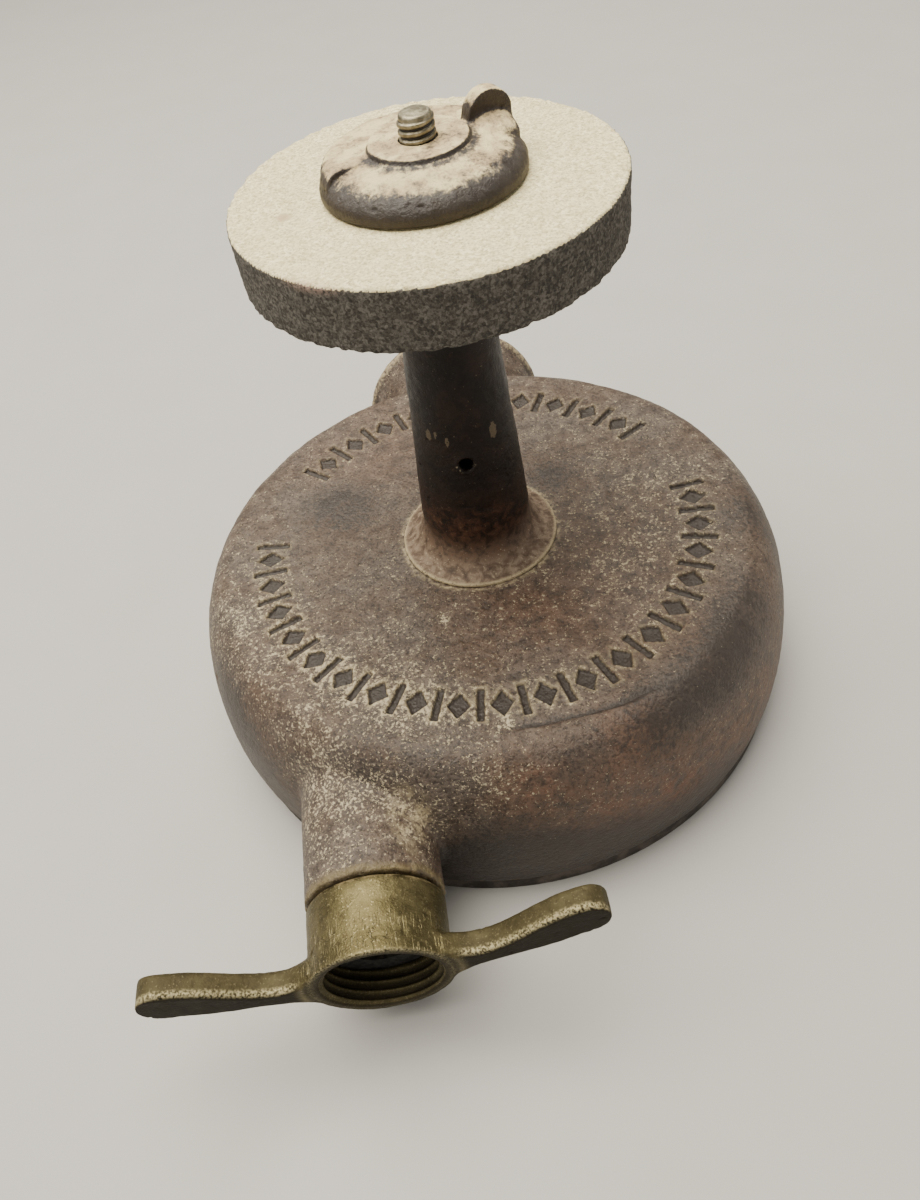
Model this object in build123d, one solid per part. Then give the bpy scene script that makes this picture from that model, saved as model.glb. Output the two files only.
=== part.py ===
from build123d import *
import math
import os

# Faucet-driven water motor with a grinding wheel on a vertical spindle.
# Millimetres, +Z up the spindle, origin where the spindle axis meets the base plane.
# Water enters along +Y through the wing coupling and leaves along +Y through the spout.

# Case
CASE_R = 78.8            # widest radius of the case
CASE_WIDE_Z = 15.1       # height of the widest point
CASE_FLAT_R = 66.2       # edge of the flat top
CASE_TOP_Z = 47.1
CASE_RIM_R = 77.6        # radius at the lower edge
WALL = 4.7
GASKET_T = 0.6
COVER_T = 4.0
CASE_LOW_Z = COVER_T + GASKET_T
CHAMBER_R = CASE_R - 1.3 * WALL
CHAMBER_TOP_Z = CASE_TOP_Z - WALL
CHAMBER_SHOULDER = 16.0  # fillet between chamber wall and chamber roof

# Inlet neck and nozzle
INLET_X = -39.25
INLET_Z = 24.0
NECK_R = 15.6
NECK_END_Y = -86.0
NECK_BORE_R = 9.5
NOZZLE_BOSS_R = 9.0
NOZZLE_BOSS_IN_Y = -47.0
NOZZLE_SEAT_Y = -70.0
NOZZLE_R = 5.5
NOZZLE_HEAD_R = 8.0
NOZZLE_TIP_Y = -41.0
JET_R = 2.4

# Outlet spout
OUTLET_X = 2.0
OUTLET_Z = 27.8
OUTLET_LIP_R = 27.8
OUTLET_END_Y = 83.3
OUTLET_LIP_T = 3.4
OUTLET_NECK_R = 25.9
OUTLET_ROOT_R = 19.3
OUTLET_ROOT_Y = 60.0
OUTLET_BORE_R = 22.8
OUTLET_BORE_LENGTH = 7.0
RIM_START_Y = OUTLET_END_Y - OUTLET_BORE_LENGTH
OUTLET_THROAT_R = 15.0
OUTLET_THROAT_Y = 55.0
OUTLET_THROAT_Z = 25.8

# Bottom cover screws
SCREW_COUNT = 6
SCREW_PITCH_R = 68.0
SCREW_R = 2.1
SCREW_HEAD_R = 4.2
SCREW_HEAD_T = 2.1
SCREW_LENGTH = 12.5
SCREW_LUG_R = 5.6
SCREW_LUG_TOP_Z = 15.0
SCREW_SLOT_TURN = 35.0
COVER_R = 77.2
GASKET_IN_R = CHAMBER_R
FIT = 0.05               # radial gap of fixed and running fits

# Bearing column
FOOT_R = 19.85
FOOT_EDGE = 0.9
COLUMN_LOW_R = 13.5
COLUMN_LOW_Z = 57.5
COLUMN_TOP_R = 9.55
COLUMN_TOP_Z = 117.0
SPIGOT_R = 10.5
SPIGOT_LOW_Z = 34.5
LOCKNUT_R = 17.0
LOCKNUT_T = 4.4
BUSH_R = 6.0
BUSH_LENGTH = 18.0
LOWER_BUSH_Z = 44.0
OIL_HOLE_R = 1.6
OIL_HOLE_Z = 79.2
OIL_HOLE_AZIMUTH = -96.0
WICK_GAP = 2.0
PACKING_R = 7.5
PACKING_TOP_Z = 40.5
PACKING_T = 3.8
GLAND_FLANGE_R = 9.2
GLAND_FLANGE_T = 2.0

# Spindle
SPINDLE_R = 4.0
STUD_R = 3.5
STUD_TOP_Z = 149.7
STUD_DOME = 1.2
PIVOT_Z = 8.0            # where the spindle stands on the thrust button
PIVOT_LENGTH = 3.0
PIVOT_TIP_R = 1.2
THRUST_R = 3.5
THRUST_LOW_Z = 2.0
THRUST_BOSS_R = 8.0
SLINGER_R = 9.0
SLINGER_Z = 29.0

# Grinding wheel stack
WHEEL_R = 38.1
WHEEL_T = 12.3
WHEEL_TOP_Z = 137.5
WHEEL_LOW_Z = WHEEL_TOP_Z - WHEEL_T
WHEEL_BORE_R = 6.35
BLOTTER_R = 18.4
BLOTTER_T = 0.35
FLANGE_R = 19.0
FLANGE_T = 3.2
FLANGE_HUB_R = 8.6
FLANGE_LOW_Z = COLUMN_TOP_Z + 0.6
FLANGE_PIN_Z = 119.6
WHEEL_EDGE = 0.5

# Clamp nut
NUT_LOW_Z = WHEEL_TOP_Z + BLOTTER_T
NUT_R = 19.6
NUT_SIDE_Z = 139.4       # where the side turns into the dome
NUT_DOME_R = 18.2        # a point halfway round the dome
NUT_DOME_Z = 141.4
NUT_SHOULDER_R = 14.9    # where the dome meets the gentler top
NUT_SHOULDER_Z = 143.0
NUT_BOSS_R = 9.7
NUT_BOSS_LOW_Z = 144.1
NUT_BOSS_Z = 145.0
NUT_RECESS_R = 14.0
NUT_RECESS_H = 2.2
PLATEAU_R = 16.0         # flat part of the raised half
PLATEAU_RIM_R = 18.9
PLATEAU_LOW_Z = 141.0
PLATEAU_Z = 143.9
EAR_AZIMUTH = 18.0
EAR_IN_R = 10.3
EAR_OUT_R = 19.4
EAR_T = 3.6
EAR_TOP_Z = 148.8

# Runner
RUNNER_Z = INLET_Z
BUCKET_COUNT = 12
BUCKET_IN_R = 30.0
BUCKET_OUT_R = 49.0
CUP_R = 5.0
CUP_WALL = 1.0
CUP_SPACING = 4.7        # each cup's centre above or below the splitter
TANG_IN_R = 20.5
TANG_W = 8.0
TANG_T = 2.2
DISC_R = 29.0
DISC_T = 2.4
HUB_R = 10.0
HUB_FLANGE_R = 17.0
HUB_FLANGE_T = 2.4
HUB_LOW_Z = 12.5
RIVET_R = 1.2
RIVET_RADII = (22.8, 26.8)
PIN_R = 1.5
HUB_PIN_Z = 16.5

# Wing coupling
MOUTH_Y = -103.6
COUPLING_REAR_Y = NECK_END_Y - 0.35
COLLAR_R = 15.3
MOUTH_R = 15.6
THREAD_R = 12.2
THREAD_LENGTH = 6.3
RELIEF_R = 12.7          # undercut behind the thread, where the washer lies
MOUTH_CHAMFER = 1.5
COUPLING_LIP_T = 4.2
COUPLING_LIP_R = 9.85
WING_DEPTH = 5.8
WING_TILT = -2.5         # resting turn of the coupling about its own axis
WING_ROUND = 1.5
WING_TOP = ((11.5, 9.6), (15.6, 6.2), (20.0, 4.1), (26.0, 5.3), (33.5, 9.8), (40.0, 13.3), (44.5, 14.4))
WING_TIP = (49.3, 9.6)
WING_LOW = ((45.8, 3.75), (41.0, 1.7), (35.0, 0.0), (28.0, -1.2), (20.5, -2.7), (15.6, -5.4), (11.5, -9.6))
TAILPIECE_R = 9.4
TAILPIECE_BORE_R = 6.6
TAILPIECE_FLANGE_R = 11.7
TAILPIECE_FLANGE_T = 1.8
TAILPIECE_IN_Y = -73.4
WASHER_T = 2.8
WASHER_BORE_R = 7.6
SCREEN_T = 0.6
SCREEN_HOLE_R = 0.7


def lathe(points):
    """Solid of revolution about Z from a closed outline of (radius, height) points."""
    wire = Polyline(*[(r, 0, z) for r, z in points], close=True)
    return revolve(make_face(wire), Axis.Z)


def ring(outer, inner, low, high):
    """Plain ring about Z between two heights."""
    return lathe([(inner, low), (outer, low), (outer, high), (inner, high)])


def rod_z(radius, low, high, x=0.0, y=0.0):
    """Cylinder parallel to Z."""
    middle = (low + high) / 2
    return Pos(x, y, middle) * Cylinder(radius, high - low)


def rod_y(radius, start, end, x=INLET_X, z=INLET_Z):
    """Cylinder parallel to Y, by default on the inlet axis."""
    middle = (start + end) / 2
    return Pos(x, middle, z) * Rot(90, 0, 0) * Cylinder(radius, abs(end - start))


def cone_y(start_r, end_r, start, end, x, z):
    """Cone parallel to Y, start_r at start and end_r at end."""
    middle = (start + end) / 2
    return Pos(x, middle, z) * Rot(-90, 0, 0) * Cone(start_r, end_r, end - start)


def polar(radius, degrees):
    """Point at a radius and azimuth."""
    angle = math.radians(degrees)
    return radius * math.cos(angle), radius * math.sin(angle)


def screw_angles():
    return [360 / SCREW_COUNT * i for i in range(SCREW_COUNT)]


def case_outer():
    """Domed body: flat top, elliptical shoulder and a slightly tucked-in lower edge."""
    waist = (CASE_R - 0.35, (CASE_LOW_Z + CASE_WIDE_Z) / 2)
    with BuildLine(Plane.XZ) as outline:
        EllipticalCenterArc((CASE_FLAT_R, CASE_WIDE_Z), CASE_R - CASE_FLAT_R, CASE_TOP_Z - CASE_WIDE_Z, 0, arc_size=90)
        Polyline((CASE_FLAT_R, CASE_TOP_Z), (0, CASE_TOP_Z), (0, CASE_LOW_Z), (CASE_RIM_R, CASE_LOW_Z))
        ThreePointArc((CASE_RIM_R, CASE_LOW_Z), waist, (CASE_R, CASE_WIDE_Z))
    return revolve(make_face(outline.line), Axis.Z)


def chamber():
    """Water space inside the case."""
    space = rod_z(CHAMBER_R, CASE_LOW_Z - 1, CHAMBER_TOP_Z)
    roof_edge = space.edges().sort_by(Axis.Z)[-1]
    return fillet(roof_edge, CHAMBER_SHOULDER)


def outlet_neck():
    """Flared spout, up to the plane where its rim starts."""
    return cone_y(OUTLET_ROOT_R, OUTLET_NECK_R, OUTLET_ROOT_Y, RIM_START_Y, OUTLET_X, OUTLET_Z)


def outlet_passage():
    """Throat that narrows and drops from the rim towards the chamber."""
    inner = Plane((OUTLET_X, OUTLET_THROAT_Y, OUTLET_THROAT_Z), x_dir=(1, 0, 0), z_dir=(0, 1, 0))
    outer = Plane((OUTLET_X, RIM_START_Y, OUTLET_Z), x_dir=(1, 0, 0), z_dir=(0, 1, 0))
    return loft([inner * Circle(OUTLET_THROAT_R), outer * Circle(OUTLET_BORE_R)])


def beyond_rim_plane():
    """Everything past the flat face where the spout's rim joins the case."""
    depth = OUTLET_END_Y - RIM_START_Y
    return Pos(0, RIM_START_Y + depth / 2, CASE_TOP_Z / 2) * Box(2 * CASE_R, depth, 2 * CASE_TOP_Z)


def spout_rim():
    """Bored end of the spout with its rounded lip, and the sliver of dome that reaches past its flat face."""
    rim = rod_y(OUTLET_NECK_R, RIM_START_Y, OUTLET_END_Y, OUTLET_X, OUTLET_Z)
    rim += case_outer() & beyond_rim_plane()
    lip = rod_y(OUTLET_LIP_R, OUTLET_END_Y - OUTLET_LIP_T, OUTLET_END_Y, OUTLET_X, OUTLET_Z)
    rim += fillet(lip.edges().filter_by(GeomType.CIRCLE), OUTLET_LIP_T * 0.4)
    rim -= rod_z(CASE_RIM_R, -CASE_LOW_Z, CASE_LOW_Z)
    return rim - rod_y(OUTLET_BORE_R, RIM_START_Y, OUTLET_END_Y, OUTLET_X, OUTLET_Z)


def case_shell():
    """Casting: domed body, inlet neck, flared spout, nozzle boss and screw lugs."""
    body = case_outer() + rod_y(NECK_R, NECK_END_Y, INLET_X) + outlet_neck()
    body -= rod_z(CASE_RIM_R, -CASE_LOW_Z, CASE_LOW_Z)
    body -= beyond_rim_plane()
    body -= chamber()
    body += rod_y(NOZZLE_BOSS_R, NOZZLE_SEAT_Y, NOZZLE_BOSS_IN_Y)
    for angle in screw_angles():
        x, y = polar(SCREW_PITCH_R, angle)
        body += rod_z(SCREW_LUG_R, CASE_LOW_Z, SCREW_LUG_TOP_Z, x, y)
        body -= rod_z(SCREW_R + FIT, CASE_LOW_Z, SCREW_LENGTH + 1.0, x, y)
    body -= rod_y(NECK_BORE_R, NECK_END_Y, NOZZLE_SEAT_Y)
    body -= rod_y(NOZZLE_R + FIT, NOZZLE_SEAT_Y, NOZZLE_BOSS_IN_Y)
    body -= outlet_passage()
    body -= rod_z(SPIGOT_R + FIT, CHAMBER_TOP_Z - 1, CASE_TOP_Z)
    return body


def bottom_cover():
    """Round plate with a raised centre boss that holds the thrust button."""
    plate = rod_z(COVER_R, 0, COVER_T)
    plate += rod_z(THRUST_BOSS_R, COVER_T, PIVOT_Z - 1.0)
    plate -= rod_z(THRUST_R + FIT, THRUST_LOW_Z, PIVOT_Z)
    for angle in screw_angles():
        x, y = polar(SCREW_PITCH_R, angle)
        plate -= rod_z(SCREW_R + FIT, 0, COVER_T, x, y)
        plate -= Pos(x, y, (SCREW_HEAD_T + FIT) / 2) * Cone(
            SCREW_HEAD_R + 2 * FIT, SCREW_R + FIT, SCREW_HEAD_T + FIT)
    return plate


def cover_gasket():
    flat = ring(COVER_R, GASKET_IN_R, COVER_T, CASE_LOW_Z)
    for angle in screw_angles():
        x, y = polar(SCREW_PITCH_R, angle)
        flat += rod_z(SCREW_LUG_R, COVER_T, CASE_LOW_Z, x, y)
        flat -= rod_z(SCREW_R + 2 * FIT, COVER_T, CASE_LOW_Z, x, y)
    return flat


def cover_screws():
    """Flat-head screws, slotted, flush with the underside of the cover."""
    screws = []
    for angle in screw_angles():
        x, y = polar(SCREW_PITCH_R, angle)
        head = Pos(x, y, SCREW_HEAD_T / 2) * Cone(SCREW_HEAD_R, SCREW_R, SCREW_HEAD_T)
        screw = head + rod_z(SCREW_R, SCREW_HEAD_T, SCREW_LENGTH, x, y)
        slot = Pos(x, y, 0) * Rot(0, 0, angle + SCREW_SLOT_TURN) * Box(3 * SCREW_HEAD_R, 1.0, 1.4)
        screws.append(screw - slot)
    return Compound(children=screws)


def thrust_button():
    button = rod_z(THRUST_R, THRUST_LOW_Z, PIVOT_Z)
    return fillet(button.edges().sort_by(Axis.Z)[-1], 0.4)


def bearing_column():
    """Tapered column with a flared foot, a threaded spigot below it and a long bore."""
    foot_top = CASE_TOP_Z + FOOT_EDGE
    flare = ((FOOT_R + COLUMN_LOW_R) / 2 - 1.6, (foot_top + COLUMN_LOW_Z) / 2 - 1.9)
    with BuildLine(Plane.XZ) as outline:
        ThreePointArc((FOOT_R, foot_top), flare, (COLUMN_LOW_R, COLUMN_LOW_Z))
        Polyline((COLUMN_LOW_R, COLUMN_LOW_Z), (COLUMN_TOP_R, COLUMN_TOP_Z), (BUSH_R, COLUMN_TOP_Z),
                 (BUSH_R, PACKING_TOP_Z), (PACKING_R, PACKING_TOP_Z), (PACKING_R, SPIGOT_LOW_Z),
                 (SPIGOT_R, SPIGOT_LOW_Z), (SPIGOT_R, CASE_TOP_Z), (FOOT_R, CASE_TOP_Z), (FOOT_R, foot_top))
    column = revolve(make_face(outline.line), Axis.Z)
    x, y = polar(COLUMN_LOW_R, OIL_HOLE_AZIMUTH)
    drill = Plane((x / 2, y / 2, OIL_HOLE_Z), z_dir=(x, y, 0)) * Cylinder(OIL_HOLE_R, COLUMN_LOW_R)
    return column - drill


def column_locknut():
    """Ring nut on the spigot, under the case roof, with four spanner notches."""
    nut = ring(LOCKNUT_R, SPIGOT_R + FIT, CHAMBER_TOP_Z - LOCKNUT_T, CHAMBER_TOP_Z)
    for quarter in range(4):
        nut -= Rot(0, 0, 90 * quarter) * Pos(LOCKNUT_R, 0, CHAMBER_TOP_Z) * Box(4, 4, 4 * LOCKNUT_T)
    return nut


def bush(low):
    return ring(BUSH_R - FIT, SPINDLE_R + FIT, low, low + BUSH_LENGTH)


def oil_wick():
    low = LOWER_BUSH_Z + BUSH_LENGTH + WICK_GAP
    return ring(BUSH_R - 0.3, SPINDLE_R + 0.3, low, COLUMN_TOP_Z - BUSH_LENGTH - WICK_GAP)


def shaft_packing():
    return ring(PACKING_R - FIT, SPINDLE_R + 0.08, PACKING_TOP_Z - PACKING_T, PACKING_TOP_Z)


def packing_gland():
    """Screwed bush that squeezes the packing, with a flange below the spigot."""
    high = PACKING_TOP_Z - PACKING_T
    body = ring(PACKING_R - FIT, SPINDLE_R + 0.5, SPIGOT_LOW_Z, high)
    return body + ring(GLAND_FLANGE_R, SPINDLE_R + 0.5, SPIGOT_LOW_Z - GLAND_FLANGE_T, SPIGOT_LOW_Z)


def jet_nozzle():
    """Brass jet: head against the seat, tapered tip and a converging bore."""
    head_out = NOZZLE_SEAT_Y - 3.0
    jet = rod_y(NOZZLE_HEAD_R, head_out, NOZZLE_SEAT_Y) + rod_y(NOZZLE_R, NOZZLE_SEAT_Y, NOZZLE_BOSS_IN_Y)
    jet += cone_y(NOZZLE_R, JET_R + 1.2, NOZZLE_BOSS_IN_Y, NOZZLE_TIP_Y, INLET_X, INLET_Z)
    jet -= cone_y(NOZZLE_R - 1.2, JET_R, head_out, NOZZLE_TIP_Y - 3.0, INLET_X, INLET_Z)
    return jet - rod_y(JET_R, NOZZLE_TIP_Y - 3.0, NOZZLE_TIP_Y)


def inlet_tailpiece():
    """Flanged tube screwed into the neck; its flange holds the coupling on."""
    flange_y = COUPLING_REAR_Y - COUPLING_LIP_T - 0.3
    tube = rod_y(TAILPIECE_R, flange_y, TAILPIECE_IN_Y)
    tube += rod_y(TAILPIECE_FLANGE_R, flange_y - TAILPIECE_FLANGE_T, flange_y)
    return tube - rod_y(TAILPIECE_BORE_R, flange_y - TAILPIECE_FLANGE_T, TAILPIECE_IN_Y)


def wing():
    """One wing lying along +X from the inlet axis, its face in the mouth plane and its root flared."""
    with BuildLine(Plane.XZ) as outline:
        Spline(*WING_TOP)
        ThreePointArc(WING_TOP[-1], WING_TIP, WING_LOW[0])
        Spline(*WING_LOW)
        Line(WING_LOW[-1], WING_TOP[0])
    blade = extrude(make_face(outline.line), WING_DEPTH, dir=(0, 1, 0))
    long_edges = blade.edges().filter_by(GeomType.BSPLINE)
    return fillet(long_edges, WING_ROUND)


def wing_coupling():
    """Swivel coupling: threaded socket, inward lip at the rear and two upswept wings."""
    socket = cone_y(MOUTH_R, COLLAR_R, MOUTH_Y, MOUTH_Y + 5, 0, 0)
    socket += rod_y(COLLAR_R, MOUTH_Y + 5, COUPLING_REAR_Y, 0, 0)
    rear_edge = socket.edges().filter_by(GeomType.CIRCLE).sort_by(Axis.Y)[-1]
    socket = fillet(rear_edge, 1.4)
    right = Pos(0, MOUTH_Y, 0) * wing()
    socket += right + mirror(right, Plane.YZ)
    lip_y = COUPLING_REAR_Y - COUPLING_LIP_T
    relief_y = MOUTH_Y + MOUTH_CHAMFER + THREAD_LENGTH
    socket -= rod_y(THREAD_R, MOUTH_Y, relief_y, 0, 0)
    socket -= rod_y(RELIEF_R, relief_y, lip_y, 0, 0)
    socket -= rod_y(COUPLING_LIP_R, lip_y, COUPLING_REAR_Y, 0, 0)
    socket -= cone_y(THREAD_R + MOUTH_CHAMFER, THREAD_R, MOUTH_Y, MOUTH_Y + MOUTH_CHAMFER, 0, 0)
    return Pos(INLET_X, 0, INLET_Z) * Rot(0, WING_TILT, 0) * socket


def washer_end():
    """Mouth side of the tailpiece flange."""
    return COUPLING_REAR_Y - COUPLING_LIP_T - 0.3 - TAILPIECE_FLANGE_T - 0.1


def hose_washer():
    end = washer_end()
    washer = rod_y(RELIEF_R - 0.1, end - WASHER_T, end)
    return washer - rod_y(WASHER_BORE_R, end - WASHER_T, end)


def inlet_screen():
    """Perforated disc inside the washer."""
    middle = washer_end() - WASHER_T / 2
    screen = rod_y(WASHER_BORE_R - 0.1, middle - SCREEN_T / 2, middle + SCREEN_T / 2)
    for count, radius in ((1, 0), (6, 2.4), (12, 4.8)):
        for i in range(count):
            x, z = polar(radius, 360 / count * i)
            screen -= rod_y(SCREEN_HOLE_R, middle - 1, middle + 1, INLET_X + x, INLET_Z + z)
    return screen


def spindle():
    """Steel spindle: centre point below, plain journal, and the stud for wheel and nut."""
    shaft = lathe([(0, PIVOT_Z), (PIVOT_TIP_R, PIVOT_Z), (SPINDLE_R, PIVOT_Z + PIVOT_LENGTH),
                   (SPINDLE_R, WHEEL_LOW_Z), (STUD_R, WHEEL_LOW_Z), (STUD_R, STUD_TOP_Z - STUD_DOME),
                   (STUD_R * 0.7, STUD_TOP_Z - 0.3), (0, STUD_TOP_Z)])
    return shaft - cross_pin(PIN_R + FIT, HUB_PIN_Z) - cross_pin(PIN_R + FIT, FLANGE_PIN_Z)


def cross_pin(radius, height, half_length=HUB_R - 0.2):
    """Pin or pin hole across the spindle, along X."""
    return Pos(0, 0, height) * Rot(0, 90, 0) * Cylinder(radius, 2 * half_length)


def runner_hub():
    hub = ring(HUB_R, SPINDLE_R + FIT, HUB_LOW_Z, disc_low())
    hub += ring(HUB_FLANGE_R, SPINDLE_R + FIT, disc_low() - HUB_FLANGE_T, disc_low())
    return hub - cross_pin(PIN_R + FIT, HUB_PIN_Z, HUB_R)


def disc_low():
    return RUNNER_Z - DISC_T / 2


def rivet_places():
    """Two rivets for each bucket tang."""
    return [polar(radius, 360 / BUCKET_COUNT * i) for i in range(BUCKET_COUNT) for radius in RIVET_RADII]


def runner_disc():
    disc = ring(DISC_R, SPINDLE_R + FIT, disc_low(), disc_low() + DISC_T)
    for x, y in rivet_places():
        disc -= rod_z(RIVET_R + FIT, disc_low(), disc_low() + DISC_T, x, y)
    return disc


def bucket():
    """Double cup on +X, open towards +Y, with a splitter ridge between the cups."""
    length = BUCKET_OUT_R - BUCKET_IN_R
    middle = (BUCKET_OUT_R + BUCKET_IN_R) / 2
    outer_r = CUP_R + CUP_WALL
    shape = None
    for side in (-1, 1):
        cup = Pos(middle, 0, side * CUP_SPACING) * Rot(0, 90, 0) * Cylinder(outer_r, length)
        shape = cup if shape is None else shape + cup
    shape &= Pos(middle, -outer_r / 2, 0) * Box(length, outer_r, 4 * outer_r)
    for side in (-1, 1):
        shape -= Pos(middle, 0, side * CUP_SPACING) * Rot(0, 90, 0) * Cylinder(CUP_R, length - 2 * CUP_WALL)
    tang_length = BUCKET_IN_R + CUP_WALL - TANG_IN_R
    tang = Pos(TANG_IN_R + tang_length / 2, 0, (DISC_T + TANG_T) / 2) * Box(tang_length, TANG_W, TANG_T)
    shape += tang
    for radius in RIVET_RADII:
        shape -= rod_z(RIVET_R + FIT, 0, DISC_T + TANG_T, radius, 0)
    return Pos(0, 0, RUNNER_Z) * shape


def runner_buckets():
    return Compound(children=[Rot(0, 0, 360 / BUCKET_COUNT * i) * bucket() for i in range(BUCKET_COUNT)])


def bucket_rivets():
    low = disc_low()
    high = RUNNER_Z + DISC_T / 2 + TANG_T
    rivets = []
    for x, y in rivet_places():
        heads = rod_z(2 * RIVET_R, low - 0.8, low, x, y) + rod_z(2 * RIVET_R, high, high + 0.8, x, y)
        rivets.append(heads + rod_z(RIVET_R, low, high, x, y))
    return Compound(children=rivets)


def slinger():
    """Sheet ring pressed on the spindle that throws drips away from the packing."""
    return ring(SLINGER_R, SPINDLE_R + FIT, SLINGER_Z, SLINGER_Z + 1.2)


def back_flange():
    """Hub pinned to the spindle, with a face that backs the wheel."""
    high = WHEEL_LOW_Z - BLOTTER_T
    flange = ring(FLANGE_HUB_R, SPINDLE_R + FIT, FLANGE_LOW_Z, high)
    flange += ring(FLANGE_R, SPINDLE_R + FIT, high - FLANGE_T, high)
    return flange - cross_pin(PIN_R + FIT, FLANGE_PIN_Z, FLANGE_HUB_R)


def blotter(low):
    return ring(BLOTTER_R, SPINDLE_R + FIT, low, low + BLOTTER_T)


def grinding_wheel():
    wheel = ring(WHEEL_R, WHEEL_BORE_R, WHEEL_LOW_Z, WHEEL_TOP_Z)
    rims = wheel.edges().filter_by(GeomType.CIRCLE).sort_by(SortBy.RADIUS)[-2:]
    return fillet(rims, WHEEL_EDGE)


def wheel_bush():
    return ring(WHEEL_BORE_R - FIT, STUD_R + FIT, WHEEL_LOW_Z, WHEEL_TOP_Z)


def clamp_nut():
    """Cup-shaped thumb nut: dome, boss, one half raised to a flat, and one standing ear."""
    with BuildLine(Plane.XZ) as outline:
        Polyline((STUD_R + FIT, NUT_BOSS_Z), (STUD_R + FIT, NUT_LOW_Z + NUT_RECESS_H),
                 (NUT_RECESS_R, NUT_LOW_Z + NUT_RECESS_H), (NUT_RECESS_R, NUT_LOW_Z), (NUT_R, NUT_LOW_Z),
                 (NUT_R, NUT_SIDE_Z))
        ThreePointArc((NUT_R, NUT_SIDE_Z), (NUT_DOME_R, NUT_DOME_Z), (NUT_SHOULDER_R, NUT_SHOULDER_Z))
        Polyline((NUT_SHOULDER_R, NUT_SHOULDER_Z), (NUT_BOSS_R, NUT_BOSS_LOW_Z),
                 (NUT_BOSS_R - 0.3, NUT_BOSS_Z), (STUD_R + FIT, NUT_BOSS_Z))
    nut = revolve(make_face(outline.line), Axis.Z)
    with BuildLine(Plane.XZ) as raised:
        Polyline((STUD_R + FIT, PLATEAU_Z), (STUD_R + FIT, PLATEAU_LOW_Z), (PLATEAU_RIM_R, PLATEAU_LOW_Z))
        ThreePointArc((PLATEAU_RIM_R, PLATEAU_LOW_Z), ((PLATEAU_R + 2 * PLATEAU_RIM_R) / 3, PLATEAU_Z - 0.9),
                      (PLATEAU_R, PLATEAU_Z))
        Line((PLATEAU_R, PLATEAU_Z), (STUD_R + FIT, PLATEAU_Z))
    nut += revolve(make_face(raised.line), Axis.Z, 180)
    ear_width = EAR_OUT_R - EAR_IN_R
    ear_middle = EAR_IN_R + ear_width / 2
    round_z = EAR_TOP_Z - ear_width / 2
    ear = Pos(ear_middle, EAR_T / 2, (PLATEAU_LOW_Z + round_z) / 2) * Box(ear_width, EAR_T, round_z - PLATEAU_LOW_Z)
    ear += Pos(ear_middle, EAR_T / 2, round_z) * Rot(90, 0, 0) * Cylinder(ear_width / 2, EAR_T)
    return Rot(0, 0, EAR_AZIMUTH) * (nut + ear)


def main():
    os.makedirs("parts", exist_ok=True)
    nodes = {
        "case_shell": case_shell(),
        "spout_rim": spout_rim(),
        "bottom_cover": bottom_cover(),
        "cover_gasket": cover_gasket(),
        "cover_screws": cover_screws(),
        "thrust_button": thrust_button(),
        "bearing_column": bearing_column(),
        "column_locknut": column_locknut(),
        "lower_bush": bush(LOWER_BUSH_Z),
        "upper_bush": bush(COLUMN_TOP_Z - BUSH_LENGTH),
        "oil_wick": oil_wick(),
        "shaft_packing": shaft_packing(),
        "packing_gland": packing_gland(),
        "jet_nozzle": jet_nozzle(),
        "inlet_tailpiece": inlet_tailpiece(),
        "wing_coupling": wing_coupling(),
        "hose_washer": hose_washer(),
        "inlet_screen": inlet_screen(),
        "spindle": spindle(),
        "runner_hub": runner_hub(),
        "runner_disc": runner_disc(),
        "runner_buckets": runner_buckets(),
        "bucket_rivets": bucket_rivets(),
        "hub_pin": cross_pin(PIN_R, HUB_PIN_Z),
        "slinger": slinger(),
        "back_flange": back_flange(),
        "flange_pin": cross_pin(PIN_R, FLANGE_PIN_Z, FLANGE_HUB_R - 0.2),
        "lower_blotter": blotter(WHEEL_LOW_Z - BLOTTER_T),
        "grinding_wheel": grinding_wheel(),
        "wheel_bush": wheel_bush(),
        "upper_blotter": blotter(WHEEL_TOP_Z),
        "clamp_nut": clamp_nut(),
    }
    for name, shape in nodes.items():
        export_step(shape, f"parts/{name}.step")


main()
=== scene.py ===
import math

import bmesh
import bpy
import numpy as np
from mathutils import Matrix, Vector


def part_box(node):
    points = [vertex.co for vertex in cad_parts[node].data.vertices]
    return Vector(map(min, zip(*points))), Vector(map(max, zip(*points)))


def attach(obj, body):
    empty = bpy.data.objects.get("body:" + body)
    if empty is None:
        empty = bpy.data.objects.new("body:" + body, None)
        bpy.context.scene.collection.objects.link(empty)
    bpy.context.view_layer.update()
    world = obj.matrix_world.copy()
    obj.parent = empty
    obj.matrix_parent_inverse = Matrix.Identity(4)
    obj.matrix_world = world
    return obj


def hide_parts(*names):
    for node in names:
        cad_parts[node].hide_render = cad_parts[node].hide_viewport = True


# Faucet-driven water motor with a grinding wheel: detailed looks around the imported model.
# Metres, +Z up the spindle. MM turns a size in millimetres into metres.

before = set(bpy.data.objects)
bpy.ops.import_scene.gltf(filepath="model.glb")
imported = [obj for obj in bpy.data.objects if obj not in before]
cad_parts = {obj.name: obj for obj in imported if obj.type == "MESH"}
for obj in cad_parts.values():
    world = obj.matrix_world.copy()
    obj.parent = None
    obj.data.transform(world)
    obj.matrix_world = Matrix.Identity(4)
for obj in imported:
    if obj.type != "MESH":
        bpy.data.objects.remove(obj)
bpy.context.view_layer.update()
MM = 0.001


# ---- places read from the frame

def middle(low, high):
    return (low + high) / 2


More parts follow.
